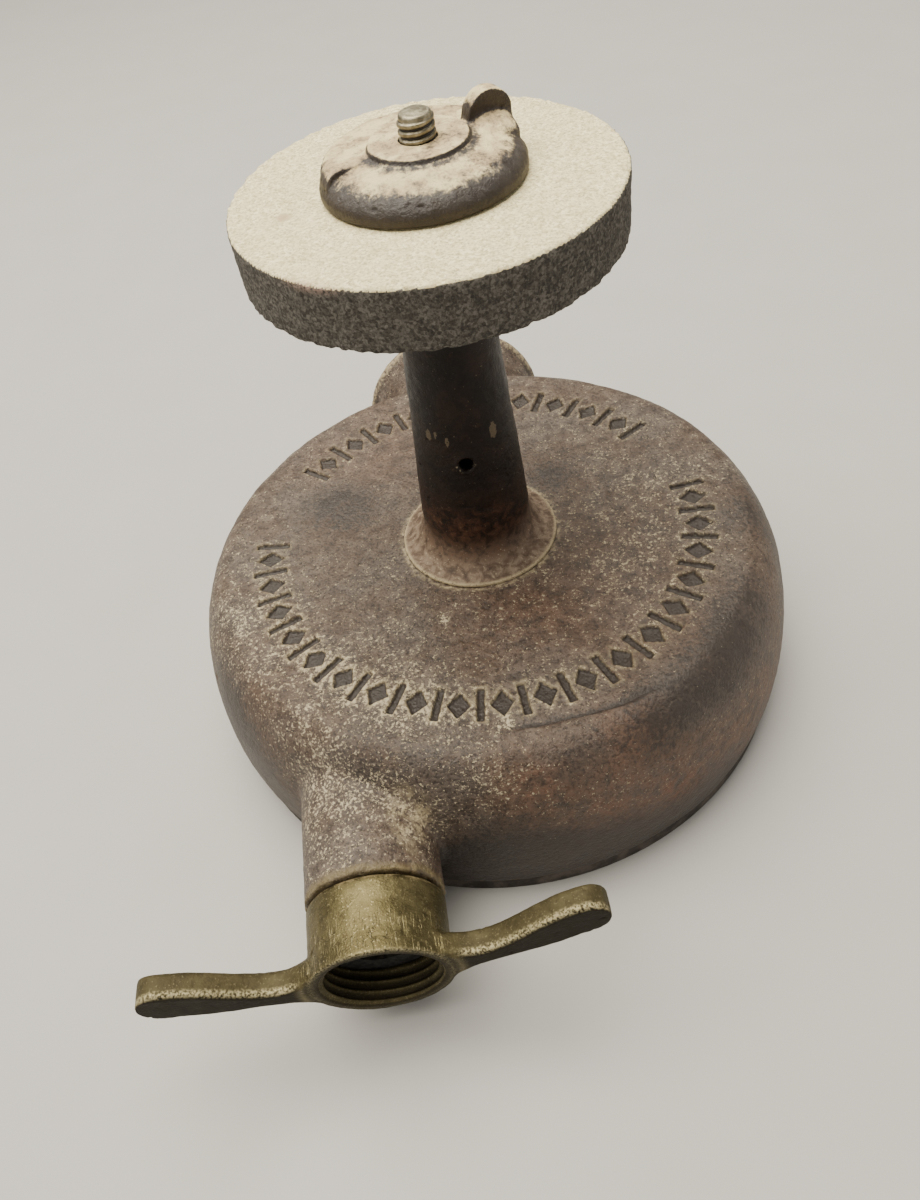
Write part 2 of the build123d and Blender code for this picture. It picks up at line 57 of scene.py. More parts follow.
CASE_LOW, CASE_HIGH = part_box("case_shell")
RIM_LOW, RIM_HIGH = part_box("spout_rim")
WHEEL_LOW, WHEEL_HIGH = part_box("grinding_wheel")
STUD_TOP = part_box("spindle")[1].z
COUPLING_LOW, COUPLING_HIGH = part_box("wing_coupling")
SCREEN_LOW, SCREEN_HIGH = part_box("inlet_screen")

CASE_R = CASE_HIGH.x
CASE_WIDE_Z = 15.1 * MM  # height of the widest radius
CASE_TOP = 47.1 * MM
SHOULDER = 12.6 * MM  # how far the rounded shoulder reaches in from the widest radius
INLET_X = middle(SCREEN_LOW.x, SCREEN_HIGH.x)
INLET_Z = middle(SCREEN_LOW.z, SCREEN_HIGH.z)
NECK_R = 15.6 * MM
MOUTH_Y = COUPLING_LOW.y
OUTLET_X = middle(RIM_LOW.x, RIM_HIGH.x)
OUTLET_Z = middle(RIM_LOW.z, RIM_HIGH.z)
WHEEL_R = WHEEL_HIGH.x
WHEEL_TOP = WHEEL_HIGH.z
STUD_R = 3.5 * MM
FRONT_AZIMUTH = -105  # degrees: the middle of the side with the most dust and wear


# ---- noise and mesh helpers

def noise(points, size, seed):
    """Smooth gradient noise, about -1 to 1, with lumps of the given size."""
    rng = np.random.default_rng(seed)
    order = rng.permutation(256)
    slopes = rng.normal(size=(256, 3))
    slopes /= np.linalg.norm(slopes, axis=1, keepdims=True)
    cell = np.floor(points / size).astype(int)
    part = points / size - cell
    fade = part ** 3 * (part * (part * 6 - 15) + 10)
    total = np.zeros(len(points))
    for corner in np.ndindex(2, 2, 2):
        at = cell + corner
        index = order[(order[(order[at[:, 0] & 255] + at[:, 1]) & 255] + at[:, 2]) & 255]
        weight = np.prod(np.where(corner, fade, 1 - fade), axis=1)
        total += weight * np.sum(slopes[index] * (part - corner), axis=1)
    return total * 1.7


def layered(points, size, seed, layers=3):
    """Sum of finer and weaker noises."""
    total = np.zeros(len(points))
    for layer in range(layers):
        total += noise(points, size / 2 ** layer, seed + layer) / 2 ** layer
    return total / 1.6


def smooth(value, low, high):
    """0 below low, 1 above high, eased between them."""
    t = np.clip((value - low) / (high - low), 0, 1)
    return t * t * (3 - 2 * t)


def bump(value, centre, half_width):
    """1 at centre, easing to 0 at half_width from it."""
    return 1 - smooth(np.abs(value - centre), 0, half_width)


def coords(mesh):
    co = np.empty(len(mesh.vertices) * 3)
    mesh.vertices.foreach_get("co", co)
    return co.reshape(-1, 3)


def set_coords(mesh, points):
    mesh.vertices.foreach_set("co", points.ravel())
    mesh.update()


def normals(mesh):
    found = np.empty(len(mesh.vertices) * 3)
    mesh.vertex_normals.foreach_get("vector", found)
    return found.reshape(-1, 3)


def azimuth(points):
    return np.degrees(np.arctan2(points[:, 1], points[:, 0]))


def radius(points):
    return np.hypot(points[:, 0], points[:, 1])


def from_line(points, x, z):
    """Distance from a line along Y."""
    return np.hypot(points[:, 0] - x, points[:, 2] - z)


def from_place(points, place, stretch=(1, 1, 1)):
    """Distance from a place given in millimetres, with each axis counted stretch times."""
    return np.linalg.norm((points - np.array(place) * MM) * stretch, axis=1)


def along_across(points, angle):
    """Distance out along an azimuth in radians, and sideways from it."""
    along = points[:, 0] * math.cos(angle) + points[:, 1] * math.sin(angle)
    across = points[:, 1] * math.cos(angle) - points[:, 0] * math.sin(angle)
    return along, across


def turned(angle, target):
    """Signed difference of two azimuths in degrees, -180 to 180."""
    return (angle - target + 180) % 360 - 180


def facing(points, angle, half_width):
    """1 at an azimuth in degrees, easing to 0 at half_width from it."""
    return bump(turned(azimuth(points), angle), 0, half_width)


def store(mesh, name, values):
    """A number for each vertex, for the material to read."""
    attribute = mesh.attributes.new(name, "FLOAT", "POINT")
    attribute.data.foreach_set("value", np.asarray(values, np.float32))


def new_object(name, mesh):
    obj = bpy.data.objects.new(name, mesh)
    bpy.context.scene.collection.objects.link(obj)
    return obj


def cad_copy(name, *nodes):
    """One object with the joined meshes of some CAD nodes, its seams welded."""
    bm = bmesh.new()
    for node in nodes:
        bm.from_mesh(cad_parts[node].data)
    bmesh.ops.remove_doubles(bm, verts=bm.verts, dist=1e-6)
    mesh = bpy.data.meshes.new(name)
    bm.to_mesh(mesh)
    bm.free()
    return new_object(name, mesh)


def settle(obj):
    """Replaces an object's mesh by what its modifiers make of it."""
    graph = bpy.context.evaluated_depsgraph_get()
    graph.update()
    made = bpy.data.meshes.new_from_object(obj.evaluated_get(graph))
    obj.modifiers.clear()
    obj.vertex_groups.clear()
    obj.data = made


def remesh(obj, voxel):
    modifier = obj.modifiers.new("voxels", "REMESH")
    modifier.mode = "VOXEL"
    modifier.voxel_size = voxel
    settle(obj)


def relax(obj, repeats, weights=None):
    """Smooths a mesh, everywhere or by a weight for each vertex."""
    modifier = obj.modifiers.new("relax", "SMOOTH")
    modifier.factor = 0.5
    modifier.iterations = repeats
    if weights is not None:
        group = obj.vertex_groups.new(name="relax")
        steps = np.round(weights * 10).astype(int)
        for step in range(1, 11):
            group.add(np.flatnonzero(steps == step).tolist(), step / 10, "REPLACE")
        modifier.vertex_group = "relax"
    settle(obj)


def refine(mesh, chosen):
    """Splits every edge between two chosen vertices, for twice the detail there."""
    bm = bmesh.new()
    bm.from_mesh(mesh)
    edges = [e for e in bm.edges if chosen[e.verts[0].index] and chosen[e.verts[1].index]]
    bmesh.ops.subdivide_edges(bm, edges=edges, cuts=1, use_grid_fill=True)
    bm.to_mesh(mesh)
    bm.free()


def thin_out(obj, ratio):
    """Fewer triangles, kept where the surface bends."""
    modifier = obj.modifiers.new("thin", "DECIMATE")
    modifier.ratio = ratio
    settle(obj)


def shade_smooth(mesh):
    mesh.polygons.foreach_set("use_smooth", np.ones(len(mesh.polygons), bool))
    mesh.update()


def finish_piece(obj, material, body, slot, *nodes):
    obj.data.materials.clear()
    obj.data.materials.append(material)
    shade_smooth(obj.data)
    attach(obj, body)
    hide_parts(*nodes)


# ---- material helper

SPECKLE_EDGE = 0.04  # softness of the edge of a grain of dust


class Look:
    """Builds one procedural material. Sizes are millimetres in the object's own coordinates."""

    def __init__(self, name):
        self.material = bpy.data.materials.new(name)
        self.material.use_nodes = True
        self.tree = self.material.node_tree
        self.shader = self.tree.nodes["Principled BSDF"]
        self.coords = self.tree.nodes.new("ShaderNodeTexCoord").outputs["Object"]

    def put(self, socket, value):
        if isinstance(value, bpy.types.NodeSocket):
            self.tree.links.new(value, socket)
        elif isinstance(value, tuple) and len(value) == 3 and socket.type == "RGBA":
            socket.default_value = (*value, 1)
        else:
            socket.default_value = value

    def math(self, kind, a, b=0.0, clamp=False):
        node = self.tree.nodes.new("ShaderNodeMath")
        node.operation = kind
        node.use_clamp = clamp
        self.put(node.inputs[0], a)
        self.put(node.inputs[1], b)
        return node.outputs[0]

    def stretched(self, scale):
        node = self.tree.nodes.new("ShaderNodeMapping")
        self.put(node.inputs["Vector"], self.coords)
        node.inputs["Scale"].default_value = scale
        return node.outputs[0]

    def grain(self, size, detail=3.0, rough=0.55, warp=0.0, stretch=None):
        """Noise from 0 to 1 with lumps about size millimetres wide.

        Detail is its number of octaves, rough their weight, warp how far they bend each other.
        """
        node = self.tree.nodes.new("ShaderNodeTexNoise")
        self.put(node.inputs["Vector"], self.stretched(stretch) if stretch else self.coords)
        node.inputs["Scale"].default_value = 1 / (size * MM)
        node.inputs["Detail"].default_value = detail
        node.inputs["Roughness"].default_value = rough
        node.inputs["Distortion"].default_value = warp
        return node.outputs["Fac"]

    def cell_tint(self, size):
        """One value from 0 to 1 for each grain of about size millimetres."""
        node = self.tree.nodes.new("ShaderNodeTexVoronoi")
        self.put(node.inputs["Vector"], self.coords)
        node.inputs["Scale"].default_value = 1 / (size * MM)
        split = self.tree.nodes.new("ShaderNodeSeparateColor")
        self.tree.links.new(node.outputs["Color"], split.inputs[0])
        return split.outputs[0]

    def step(self, value, low, high):
        """0 up to low and 1 from high on, eased between them. With low above high it falls instead."""
        node = self.tree.nodes.new("ShaderNodeMapRange")
        node.interpolation_type = "SMOOTHSTEP"
        self.put(node.inputs["Value"], value)
        self.put(node.inputs["From Min"], low)
        self.put(node.inputs["From Max"], high)
        return node.outputs[0]

    def faded(self, value, low, high, most):
        """A step that ends at most instead of at 1."""
        return self.math("MULTIPLY", self.step(value, low, high), most)

    def blend(self, share, a, b):
        node = self.tree.nodes.new("ShaderNodeMix")
        node.data_type = "RGBA"
        self.put(node.inputs[0], share)
        self.put(node.inputs[6], a)
        self.put(node.inputs[7], b)
        return node.outputs[2]

    def stored(self, name):
        """A number that store() put on each vertex."""
        node = self.tree.nodes.new("ShaderNodeAttribute")
        node.attribute_name = name
        return node.outputs["Fac"]

    def broken(self, name, value, low, high):
        """A stored share, broken up by a step of a noise."""
        return self.math("MULTIPLY", self.stored(name), self.step(value, low, high), clamp=True)

    def sum(self, *terms):
        """Weighted sum of outputs: each term is (output, weight)."""
        total = 0.0
        for output, weight in terms:
            total = self.math("ADD", total, self.math("MULTIPLY", output, weight))
        return total

    def speckle(self, flecks, density, most):
        """Share of pale dust: single grains at low density, nearly solid at a density of 1."""
        level = self.math("SUBTRACT", 0.70, self.math("MULTIPLY", density, 0.25))
        low = self.math("SUBTRACT", level, SPECKLE_EDGE)
        high = self.math("ADD", level, SPECKLE_EDGE)
        return self.faded(flecks, low, high, most)

    def finish(self, colour, rough, height, depth, metallic=0.0, specular=0.5):
        """Height from 0 to 1 makes a bump that many millimetres deep."""
        bumps = self.tree.nodes.new("ShaderNodeBump")
        bumps.inputs["Strength"].default_value = 1.0
        bumps.inputs["Distance"].default_value = depth * MM
        self.put(bumps.inputs["Height"], height)
        self.put(self.shader.inputs["Base Color"], colour)
        self.put(self.shader.inputs["Roughness"], rough)
        self.put(self.shader.inputs["Metallic"], metallic)
        self.shader.inputs["Specular IOR Level"].default_value = specular
        self.tree.links.new(bumps.outputs[0], self.shader.inputs["Normal"])
        return self.material


# ---- materials

CREAM = (0.56, 0.46, 0.28)  # packed mineral dust; on the case it also paints a highlight along the spout's lip


def case_material():
    """Brown and mauve cast iron under pale mineral dust, with dark and rusty patches; the dark colour
    also paints shade in the sunk marks, the crease, on the inner walls and low on the sides.
    """
    look = Look("case_iron")
    broad = look.grain(15, 4, 0.6, 0.3)
    mottle = look.grain(3.4, 4, 0.62, 0.4)
    small = look.grain(1.2, 3, 0.6)
    fine = look.grain(0.7, 3, 0.6)
    flecks = look.grain(0.72, 3, 0.72)
    base = look.blend(look.step(broad, 0.38, 0.62), (0.100, 0.066, 0.046), (0.112, 0.087, 0.071))
    pale = look.step(mottle, 0.44, 0.76)
    base = look.blend(pale, base, (0.150, 0.117, 0.091))
    brown = look.faded(mottle, 0.56, 0.33, 0.62)
    base = look.blend(brown, base, (0.040, 0.028, 0.021))
    pores = look.faded(fine, 0.49, 0.38, 0.8)
    base = look.blend(pores, base, (0.028, 0.020, 0.016))
    grains = look.faded(small, 0.56, 0.74, 0.35)
    base = look.blend(grains, base, (0.19, 0.15, 0.12))
    rust = look.broken("rust", mottle, 0.3, 0.72)
    base = look.blend(rust, base, (0.165, 0.068, 0.036))
    # dark: painted shade in the sunk marks, the crease, on the inner walls and towards the bottom,
    # together with darker patches, broken up by noise
    dark_edge = look.sum((look.stored("dark"), 1.0), (broad, 0.5), (mottle, 1.3), (small, 1.0))
    dark = look.faded(dark_edge, 1.62, 2.12, 0.88)
    base = look.blend(dark, base, (0.026, 0.020, 0.017))
    density = look.sum((look.stored("dust"), 0.55), (mottle, 1.1), (broad, 0.6), (small, 0.8),
                       (dark, -0.45))
    dust = look.speckle(flecks, look.math("SUBTRACT", density, 1.05), 0.84)
    base = look.blend(dust, base, (0.54, 0.46, 0.31))
    white = look.faded(flecks, 0.735, 0.76, 0.6)
    base = look.blend(white, base, (0.62, 0.56, 0.42))
    # cream: dust round the column's foot, round the marks and on the neck, and a painted highlight along
    # the spout's lip
    cream = look.broken("cream", small, 0.34, 0.6)
    base = look.blend(cream, base, CREAM)
    crust = look.broken("crust", mottle, 0.2, 0.55)
    base = look.blend(crust, base, (0.165, 0.128, 0.060))
    rough = look.sum((mottle, 0.22), (dust, 0.3), (dark, -0.08))
    rough = look.math("ADD", rough, 0.42)
    height = look.sum((mottle, 0.36), (fine, 0.34), (small, 0.3), (dust, 0.16))
    return look.finish(base, rough, height, 0.85, specular=0.4)


def column_material():
    """Dark worn enamel, nearly black, over pitted iron, rusty towards the foot."""
    look = Look("column_iron")
    broad = look.grain(9, 4, 0.6, 0.4)
    mottle = look.grain(2.2, 4, 0.6, 0.5)
    fine = look.grain(0.5, 3, 0.6)
    flecks = look.grain(0.6, 3, 0.72)
    base = look.blend(look.step(broad, 0.38, 0.66), (0.0062, 0.0032, 0.0026), (0.019, 0.0090, 0.0062))
    base = look.blend(look.faded(mottle, 0.56, 0.74, 0.4), base, (0.052, 0.026, 0.016))
    foot = look.broken("foot", mottle, 0.05, 0.6)
    foot_colour = look.blend(look.step(mottle, 0.4, 0.64), (0.165, 0.112, 0.078), (0.265, 0.200, 0.143))
    base = look.blend(foot, base, foot_colour)
    rust = look.broken("rust", mottle, 0.36, 0.7)
    base = look.blend(rust, base, (0.115, 0.050, 0.028))
    density = look.sum((look.stored("dust"), 1.0), (mottle, 0.7))
    dust = look.speckle(flecks, look.math("SUBTRACT", density, 0.42), 0.62)
    base = look.blend(dust, base, (0.52, 0.435, 0.30))
    cream = look.broken("cream", fine, 0.3, 0.5)
    base = look.blend(cream, base, CREAM)
    chip = look.step(look.sum((look.stored("chip"), 1.0), (fine, 1.6), (mottle, 1.2)), 1.98, 2.2)
    base = look.blend(look.math("MULTIPLY", chip, 0.8), base, (0.155, 0.118, 0.075))
    rough = look.sum((mottle, 0.35), (foot, 0.25), (dust, 0.2))
    rough = look.math("ADD", rough, 0.30)
    height = look.sum((mottle, 0.55), (fine, 0.35), (dust, 0.1))
    return look.finish(base, rough, height, 0.35, specular=0.26)


def stone_material():
    """Bonded abrasive: pale dusty faces, a dark rim and underside, the bare stone darkened as painted
    shade, grains of about half a millimetre.
    """
    look = Look("abrasive_stone")
    tint = look.cell_tint(0.62)
    grit = look.grain(0.5, 3, 0.65)
    broad = look.grain(11, 3, 0.6)
    face = look.blend(tint, (0.70, 0.59, 0.33), (1.0, 0.91, 0.57))
    face = look.blend(look.faded(grit, 0.54, 0.34, 0.7), face, (0.36, 0.30, 0.18))
    face = look.blend(look.faded(broad, 0.5, 0.8, 0.25), face, (0.78, 0.66, 0.40))
    # rim: the bare stone's grey, set darker as painted shade on the side and underside
    rim = look.blend(tint, (0.062, 0.055, 0.047), (0.175, 0.160, 0.138))
    rim = look.blend(look.faded(grit, 0.56, 0.40, 0.6), rim, (0.022, 0.020, 0.018))
    edge = look.sum((look.stored("rim"), 1.0), (grit, 0.5), (tint, 0.25))
    colour = look.blend(look.step(edge, 0.78, 1.02), face, rim)
    stain = look.broken("stain", grit, 0.2, 0.6)
    colour = look.blend(stain, colour, (0.50, 0.36, 0.22))
    blush = look.broken("blush", grit, 0.3, 0.6)
    colour = look.blend(blush, colour, (0.50, 0.31, 0.24))
    height = look.sum((grit, 0.6), (tint, 0.4))
    return look.finish(colour, 0.93, height, 0.28, specular=0.25)


def nut_material(name="nut_iron"):
    """Worn iron: cream dust on top, a bluish worn shoulder with a painted sheen, and painted shade on the
    sides, the ear's front and the boss's front wall.
    """
    look = Look(name)
    broad = look.grain(5, 4, 0.6, 0.3)
    mottle = look.grain(1.6, 4, 0.62, 0.4)
    fine = look.grain(0.4, 3, 0.6)
    flecks = look.grain(0.55, 4, 0.72)
    base = look.blend(look.step(broad, 0.36, 0.66), (0.022, 0.015, 0.011), (0.050, 0.036, 0.026))
    base = look.blend(look.faded(mottle, 0.52, 0.72, 0.5), base, (0.10, 0.076, 0.056))
    # worn: bluish grey of worn iron on the dome's shoulder, partly a painted sheen, strongest at the
    # front
    worn = look.broken("worn", mottle, 0.22, 0.7)
    base = look.blend(worn, base, (0.072, 0.066, 0.064))
    dusty = look.sum((look.stored("dust"), 0.85), (mottle, 1.1), (flecks, 0.9), (broad, 0.9))
    dust = look.faded(dusty, 1.80, 2.36, 0.94)
    dust_colour = look.blend(look.step(broad, 0.4, 0.65), (0.54, 0.41, 0.23), (0.84, 0.70, 0.39))
    base = look.blend(dust, base, dust_colour)
    pits = look.math("MULTIPLY", look.step(flecks, 0.40, 0.30), look.step(mottle, 0.42, 0.6))
    base = look.blend(pits, base, (0.12, 0.085, 0.055))
    # dark: painted shade on the dome's low side, the ear's hollow front face and the boss's front wall
    dark = look.broken("dark", mottle, 0.15, 0.5)
    base = look.blend(dark, base, (0.022, 0.016, 0.013))
    rough = look.math("ADD", look.sum((mottle, 0.3), (dust, 0.3)), 0.32)
    height = look.sum((mottle, 0.5), (fine, 0.3), (flecks, 0.2))
    return look.finish(base, rough, height, 0.55, specular=0.42)


def brass_material():
    """Cast brass with olive patina, fine scratches along the collar, painted highlights on the upper
    edges and painted shade on the front faces and in the bore.
    """
    look = Look("coupling_brass")
    broad = look.grain(8, 4, 0.6, 0.4)
    mottle = look.grain(1.8, 4, 0.62, 0.4)
    fine = look.grain(0.5, 3, 0.6)
    scratch = look.grain(0.42, 3, 0.6, stretch=(1, 0.11, 1))
    base = look.blend(look.step(broad, 0.35, 0.68), (0.102, 0.085, 0.039), (0.172, 0.144, 0.070))
    base = look.blend(look.faded(mottle, 0.56, 0.34, 0.55), base, (0.082, 0.066, 0.032))
    scratched = look.math("MULTIPLY", look.step(scratch, 0.55, 0.72), look.stored("collar"))
    base = look.blend(look.math("MULTIPLY", scratched, 0.42), base, (0.42, 0.37, 0.215))
    sparkle = look.faded(fine, 0.59, 0.69, 0.5)
    base = look.blend(sparkle, base, (0.46, 0.40, 0.23))
    # dark: painted shade on the wings' front faces, the mouth's face and in the bore
    dark = look.broken("dark", mottle, 0.0, 0.35)
    base = look.blend(dark, base, (0.010, 0.0072, 0.0040))
    # painted highlight along the upward-facing ridges and the top of the mouth's rim
    edge_highlight = look.broken("edge", fine, 0.36, 0.62)
    base = look.blend(edge_highlight, base, (0.62, 0.54, 0.31))
    crust_edge = look.sum((look.stored("crust"), 1.0), (mottle, 0.7), (fine, 0.5))
    crust = look.faded(crust_edge, 1.1, 1.5, 0.85)
    base = look.blend(crust, base, (0.19, 0.145, 0.075))
    not_crust = look.math("SUBTRACT", 1.0, crust)
    not_dark = look.math("SUBTRACT", 0.9, dark)
    metal = look.math("MULTIPLY", not_crust, not_dark, clamp=True)
    rough = look.math("ADD", look.sum((mottle, 0.3), (scratched, -0.14), (crust, 0.3), (dark, 0.2)), 0.34)
    height = look.sum((mottle, 0.3), (fine, 0.35), (scratched, 0.35))
    return look.finish(base, rough, height, 0.32, metallic=metal, specular=0.15)


def plain_metal(name, dull, clean, rough=0.35, lump=2.0, depth=0.05):
    """Machined or rolled metal with a little tarnish."""
    look = Look(name)
    mottle = look.grain(lump, 4, 0.6, 0.3)
    fine = look.grain(lump / 5, 3, 0.6)
    colour = look.blend(look.step(mottle, 0.36, 0.66), dull, clean)
    height = look.sum((mottle, 0.4), (fine, 0.6))
    roughness = look.math("ADD", look.math("MULTIPLY", fine, 0.3), rough - 0.12)
    return look.finish(colour, roughness, height, depth, metallic=1.0)


def dull_solid(name, low, high, lump, depth, rough=0.85):
    """Felt, paper, rubber or dark iron: no shine, a grain of its own."""
    look = Look(name)
    mottle = look.grain(lump, 4, 0.65, 0.2)
    fine = look.grain(lump / 4, 3, 0.6)
    colour = look.blend(look.step(mottle, 0.34, 0.68), low, high)
    height = look.sum((mottle, 0.5), (fine, 0.5))
    roughness = look.math("ADD", look.math("MULTIPLY", fine, 0.15), rough - 0.07)
    return look.finish(colour, roughness, height, depth, specular=0.3)


def thread_material():
    """Stud: worn olive steel on the crests, black in the grooves."""
    look = Look("spindle_steel")
    mottle = look.grain(1.1, 4, 0.62, 0.3)
    fine = look.grain(0.3, 3, 0.6)
    crest = look.stored("crest")
    base = look.blend(look.step(mottle, 0.38, 0.64), (0.21, 0.185, 0.125), (0.36, 0.325, 0.235))
    groove = look.step(look.math("ADD", crest, look.math("MULTIPLY", mottle, 0.3)), 0.62, 0.34)
    base = look.blend(groove, base, (0.02, 0.016, 0.012))
    rough = look.math("ADD", look.math("MULTIPLY", mottle, 0.35), 0.26)
    height = look.sum((mottle, 0.5), (fine, 0.5))
    metal = look.math("MULTIPLY", look.math("SUBTRACT", 1.0, groove), 0.85)
    return look.finish(base, rough, height, 0.12, metallic=metal)


# ---- case casting

# Where dust, darker patches and rust lie: (azimuth in degrees, radius, z, reach, amount), in millimetres
CASE_PATCHES = {
    "dust": ((165, 70, 45, 22, 0.10), (-172, 67, 46, 22, 0.20), (-160, 64, 47, 20, 0.34),
             (-140, 66, 46, 22, 0.24), (-128, 62, 47, 20, 0.36), (-110, 58, 47, 16, 0.34),
             (-98, 72, 43, 9, 0.45), (-116, 76, 38, 9, 0.45), (-107, 82, 35, 8, 0.50),
             (-126, 80, 37, 12, 0.45), (-119, 88, 36, 16, 0.30), (-93, 61.5, 47, 2.2, 1.2),
             (-115, 30.8, 47, 1.5, 1.6), (-90, 77, 28, 20, 0.16), (-120, 40, 47, 34, 0.22),
             (-140, 77, 26, 26, 0.12), (-170, 77, 26, 26, 0.10), (5, 42, 47, 30, 0.28),
             (-25, 50, 47, 20, 0.20), (-50, 60, 47, 16, 0.20), (-45, 30, 47, 22, 0.20)),
    "dark": ((152, 41, 47, 15, 0.60), (37, 28, 47, 9, 0.62), (24, 54, 47, 5, 0.4),
             (-10, 71, 45, 15, 0.52), (-35, 71, 44, 14, 0.55), (-50, 71, 44, 13, 0.66),
             (-66, 72, 43, 13, 0.62), (-82, 72, 43, 10, 0.42), (-120, 71, 45, 13, 0.42),
             (-104, 71, 45, 11, 0.36), (-160, 76, 34, 16, 0.48), (-146, 77, 30, 18, 0.52),
             (-95, 78, 20, 16, 0.75), (-104, 78, 12, 14, 0.7), (-80, 79, 12, 18, 0.62),
             (-60, 79, 8, 18, 0.35)),
    "rust": ((-76, 79, 20, 24, 0.75), (-90, 74, 40, 10, 0.5), (-60, 78, 14, 22, 0.5),
             (-38, 79, 22, 26, 0.45), (-72, 71, 44, 10, 0.35), (-85, 30, 47, 16, 0.35),
             (-50, 40, 47, 26, 0.22), (120, 50, 47, 22, 0.22), (-150, 76, 36, 18, 0.2)),
}


def case_patches(points):
    """Amount of dust, darker patches and rust at each point of the case."""
    found = {}
    for name, spots in CASE_PATCHES.items():
        total = np.zeros(len(points))
        for angle, out, z, reach, amount in spots:
            turn = math.radians(angle)
            gap = from_place(points, (out * math.cos(turn), out * math.sin(turn), z))
            total += amount * (1 - smooth(gap, 0.1 * reach * MM, 1.45 * reach * MM))
        found[name] = total
    return found


MARK_MIDDLE_R = 55.5 * MM
MARK_LONG = 9.0 * MM  # length of a bar
BAR_HALF_WIDTH = 1.0 * MM
LOZENGE_HALF_WIDTH = 2.9 * MM
LOZENGE_TAPER = 2.4  # a lozenge is 2 / 2.4 of a bar's length
MARK_DEPTH = 1.0 * MM
MARK_PITCH = 5.2  # degrees
MARK_ARCS = ((-190.0, 3.0), (31.0, 139.0))  # azimuths where each arc of marks starts and ends
CREASE_START = -95  # azimuth where the crease starts, degrees
CREASE_R = 62.4  # its radius there, mm


def mark_gap(side, out, lozenge):
    """Distance outside a mark centred on side 0: a straight bar, or a lozenge between two bars."""
    away = np.abs(out - MARK_MIDDLE_R)
    if lozenge:
        slope = math.hypot(1 / LOZENGE_HALF_WIDTH, LOZENGE_TAPER / MARK_LONG)
        return (np.abs(side) / LOZENGE_HALF_WIDTH + away * LOZENGE_TAPER / MARK_LONG - 1) / slope
    return np.maximum(np.abs(side) - BAR_HALF_WIDTH, away - MARK_LONG / 2)


def mark_cover(points):
    """How far into a sunk mark each point is, 0 to 1, and how near to one."""
    gap = np.full(len(points), 1.0)
    in_band = np.abs(radius(points) - MARK_MIDDLE_R) < 7.5 * MM
    band = np.flatnonzero(in_band & (points[:, 2] > CASE_TOP - 2 * MM))
    out = radius(points[band])
    angle = azimuth(points[band])
    for start, end in MARK_ARCS:
        count = 2 * round((end - start) / MARK_PITCH / 2)
        for i in range(count + 1):
            side = np.radians(turned(angle, start + (end - start) * i / count)) * out
            gap[band] = np.minimum(gap[band], mark_gap(side, out, i % 2))
    gap += 0.12 * MM * noise(points, 1.3 * MM, seed=43)
    return 1 - smooth(gap, -0.45 * MM, 0.25 * MM), 1 - smooth(gap, 0.15 * MM, 1.3 * MM)


def casting_crease(points):
    """Depth of the cold-shut line on the front shoulder, 0 to 1."""
    angle = azimuth(points)
    along = np.clip((angle - CREASE_START) / 34, 0, 1)
    line = (CREASE_R + 4.6 * along ** 1.6) * MM + 0.5 * MM * noise(points, 6 * MM, seed=71)
    ends = smooth(angle, -97, -90) * (1 - smooth(angle, -66, -60))
    return np.exp(-((radius(points) - line) / (0.55 * MM)) ** 2) * ends


def inside_box(points, low, high):
    """Points held a hair inside a box."""
    return np.clip(points, np.array(low) + 0.05 * MM, np.array(high) - 0.05 * MM)


def under_skin(points, depth):
    """Whether points lie deeper than this inside the case's outer outline."""
    out = radius(points)
    rise = np.clip((points[:, 2] - CASE_WIDE_Z) / (CASE_TOP - CASE_WIDE_Z), 0, 1)
    reach = CASE_R - SHOULDER + SHOULDER * np.sqrt(1 - rise ** 2)
    inward = np.clip((out - CASE_R + SHOULDER) / SHOULDER, 0, 1)
    roof = CASE_WIDE_Z + (CASE_TOP - CASE_WIDE_Z) * np.sqrt(1 - inward ** 2)
    return (out < reach - depth) & (points[:, 2] < roof - depth)


SPOUT_JOINT_R = 23.5 * MM  # radius about which the spout's joint is rounded
SPOUT_BORE_R = 23.6 * MM  # a little over the bore, so that its wall counts as inside
SPOUT_LIP_R = 27.0 * MM
SPOUT_BORE_Y = 50 * MM  # the spout's bore lies beyond this
SPOUT_JOINT_Y = 55 * MM
NECK_BORE_R = 10.2 * MM
NECK_BORE_Y = -60 * MM
NECK_JOINT_Y = -55 * MM
ROOF_HOLE_R = 11.4 * MM  # hole for the column's spigot
INNER_DEPTH = 2.4 * MM  # deeper than this a point is on an inner wall
SEAM_R = 20.35 * MM  # ring of dust round the column's foot
NECK_END_Y = -85.4 * MM
NECK_PATCH = (-28.0, -71.0, 35.5)  # cream patch on the root of the neck, mm
SIDE_AZIMUTH = -125  # degrees: the side where the marks hold the most dust


def round_joints(obj):
    """Fillets where the neck and the spout meet the case, and a slight softening elsewhere."""
    points = coords(obj.data)
    off_case = np.abs(radius(points) - CASE_R)
    off_neck = np.abs(from_line(points, INLET_X, INLET_Z) - NECK_R)
    neck_joint = 1 - smooth(off_neck + off_case, 1.0 * MM, 6.5 * MM)
    neck_joint *= points[:, 1] < NECK_JOINT_Y
    out = from_line(points, OUTLET_X, OUTLET_Z)
    spout_joint = 1 - smooth(np.abs(out - SPOUT_JOINT_R) + off_case, 4 * MM, 12 * MM)
    spout_joint *= (points[:, 1] > SPOUT_JOINT_Y) & (out > 21.5 * MM)
    above_cover = np.maximum(smooth(points[:, 2], 8 * MM, 12 * MM), 0.12)
    relax(obj, 40, np.clip(0.12 + neck_joint + spout_joint, 0, 1) * above_cover)


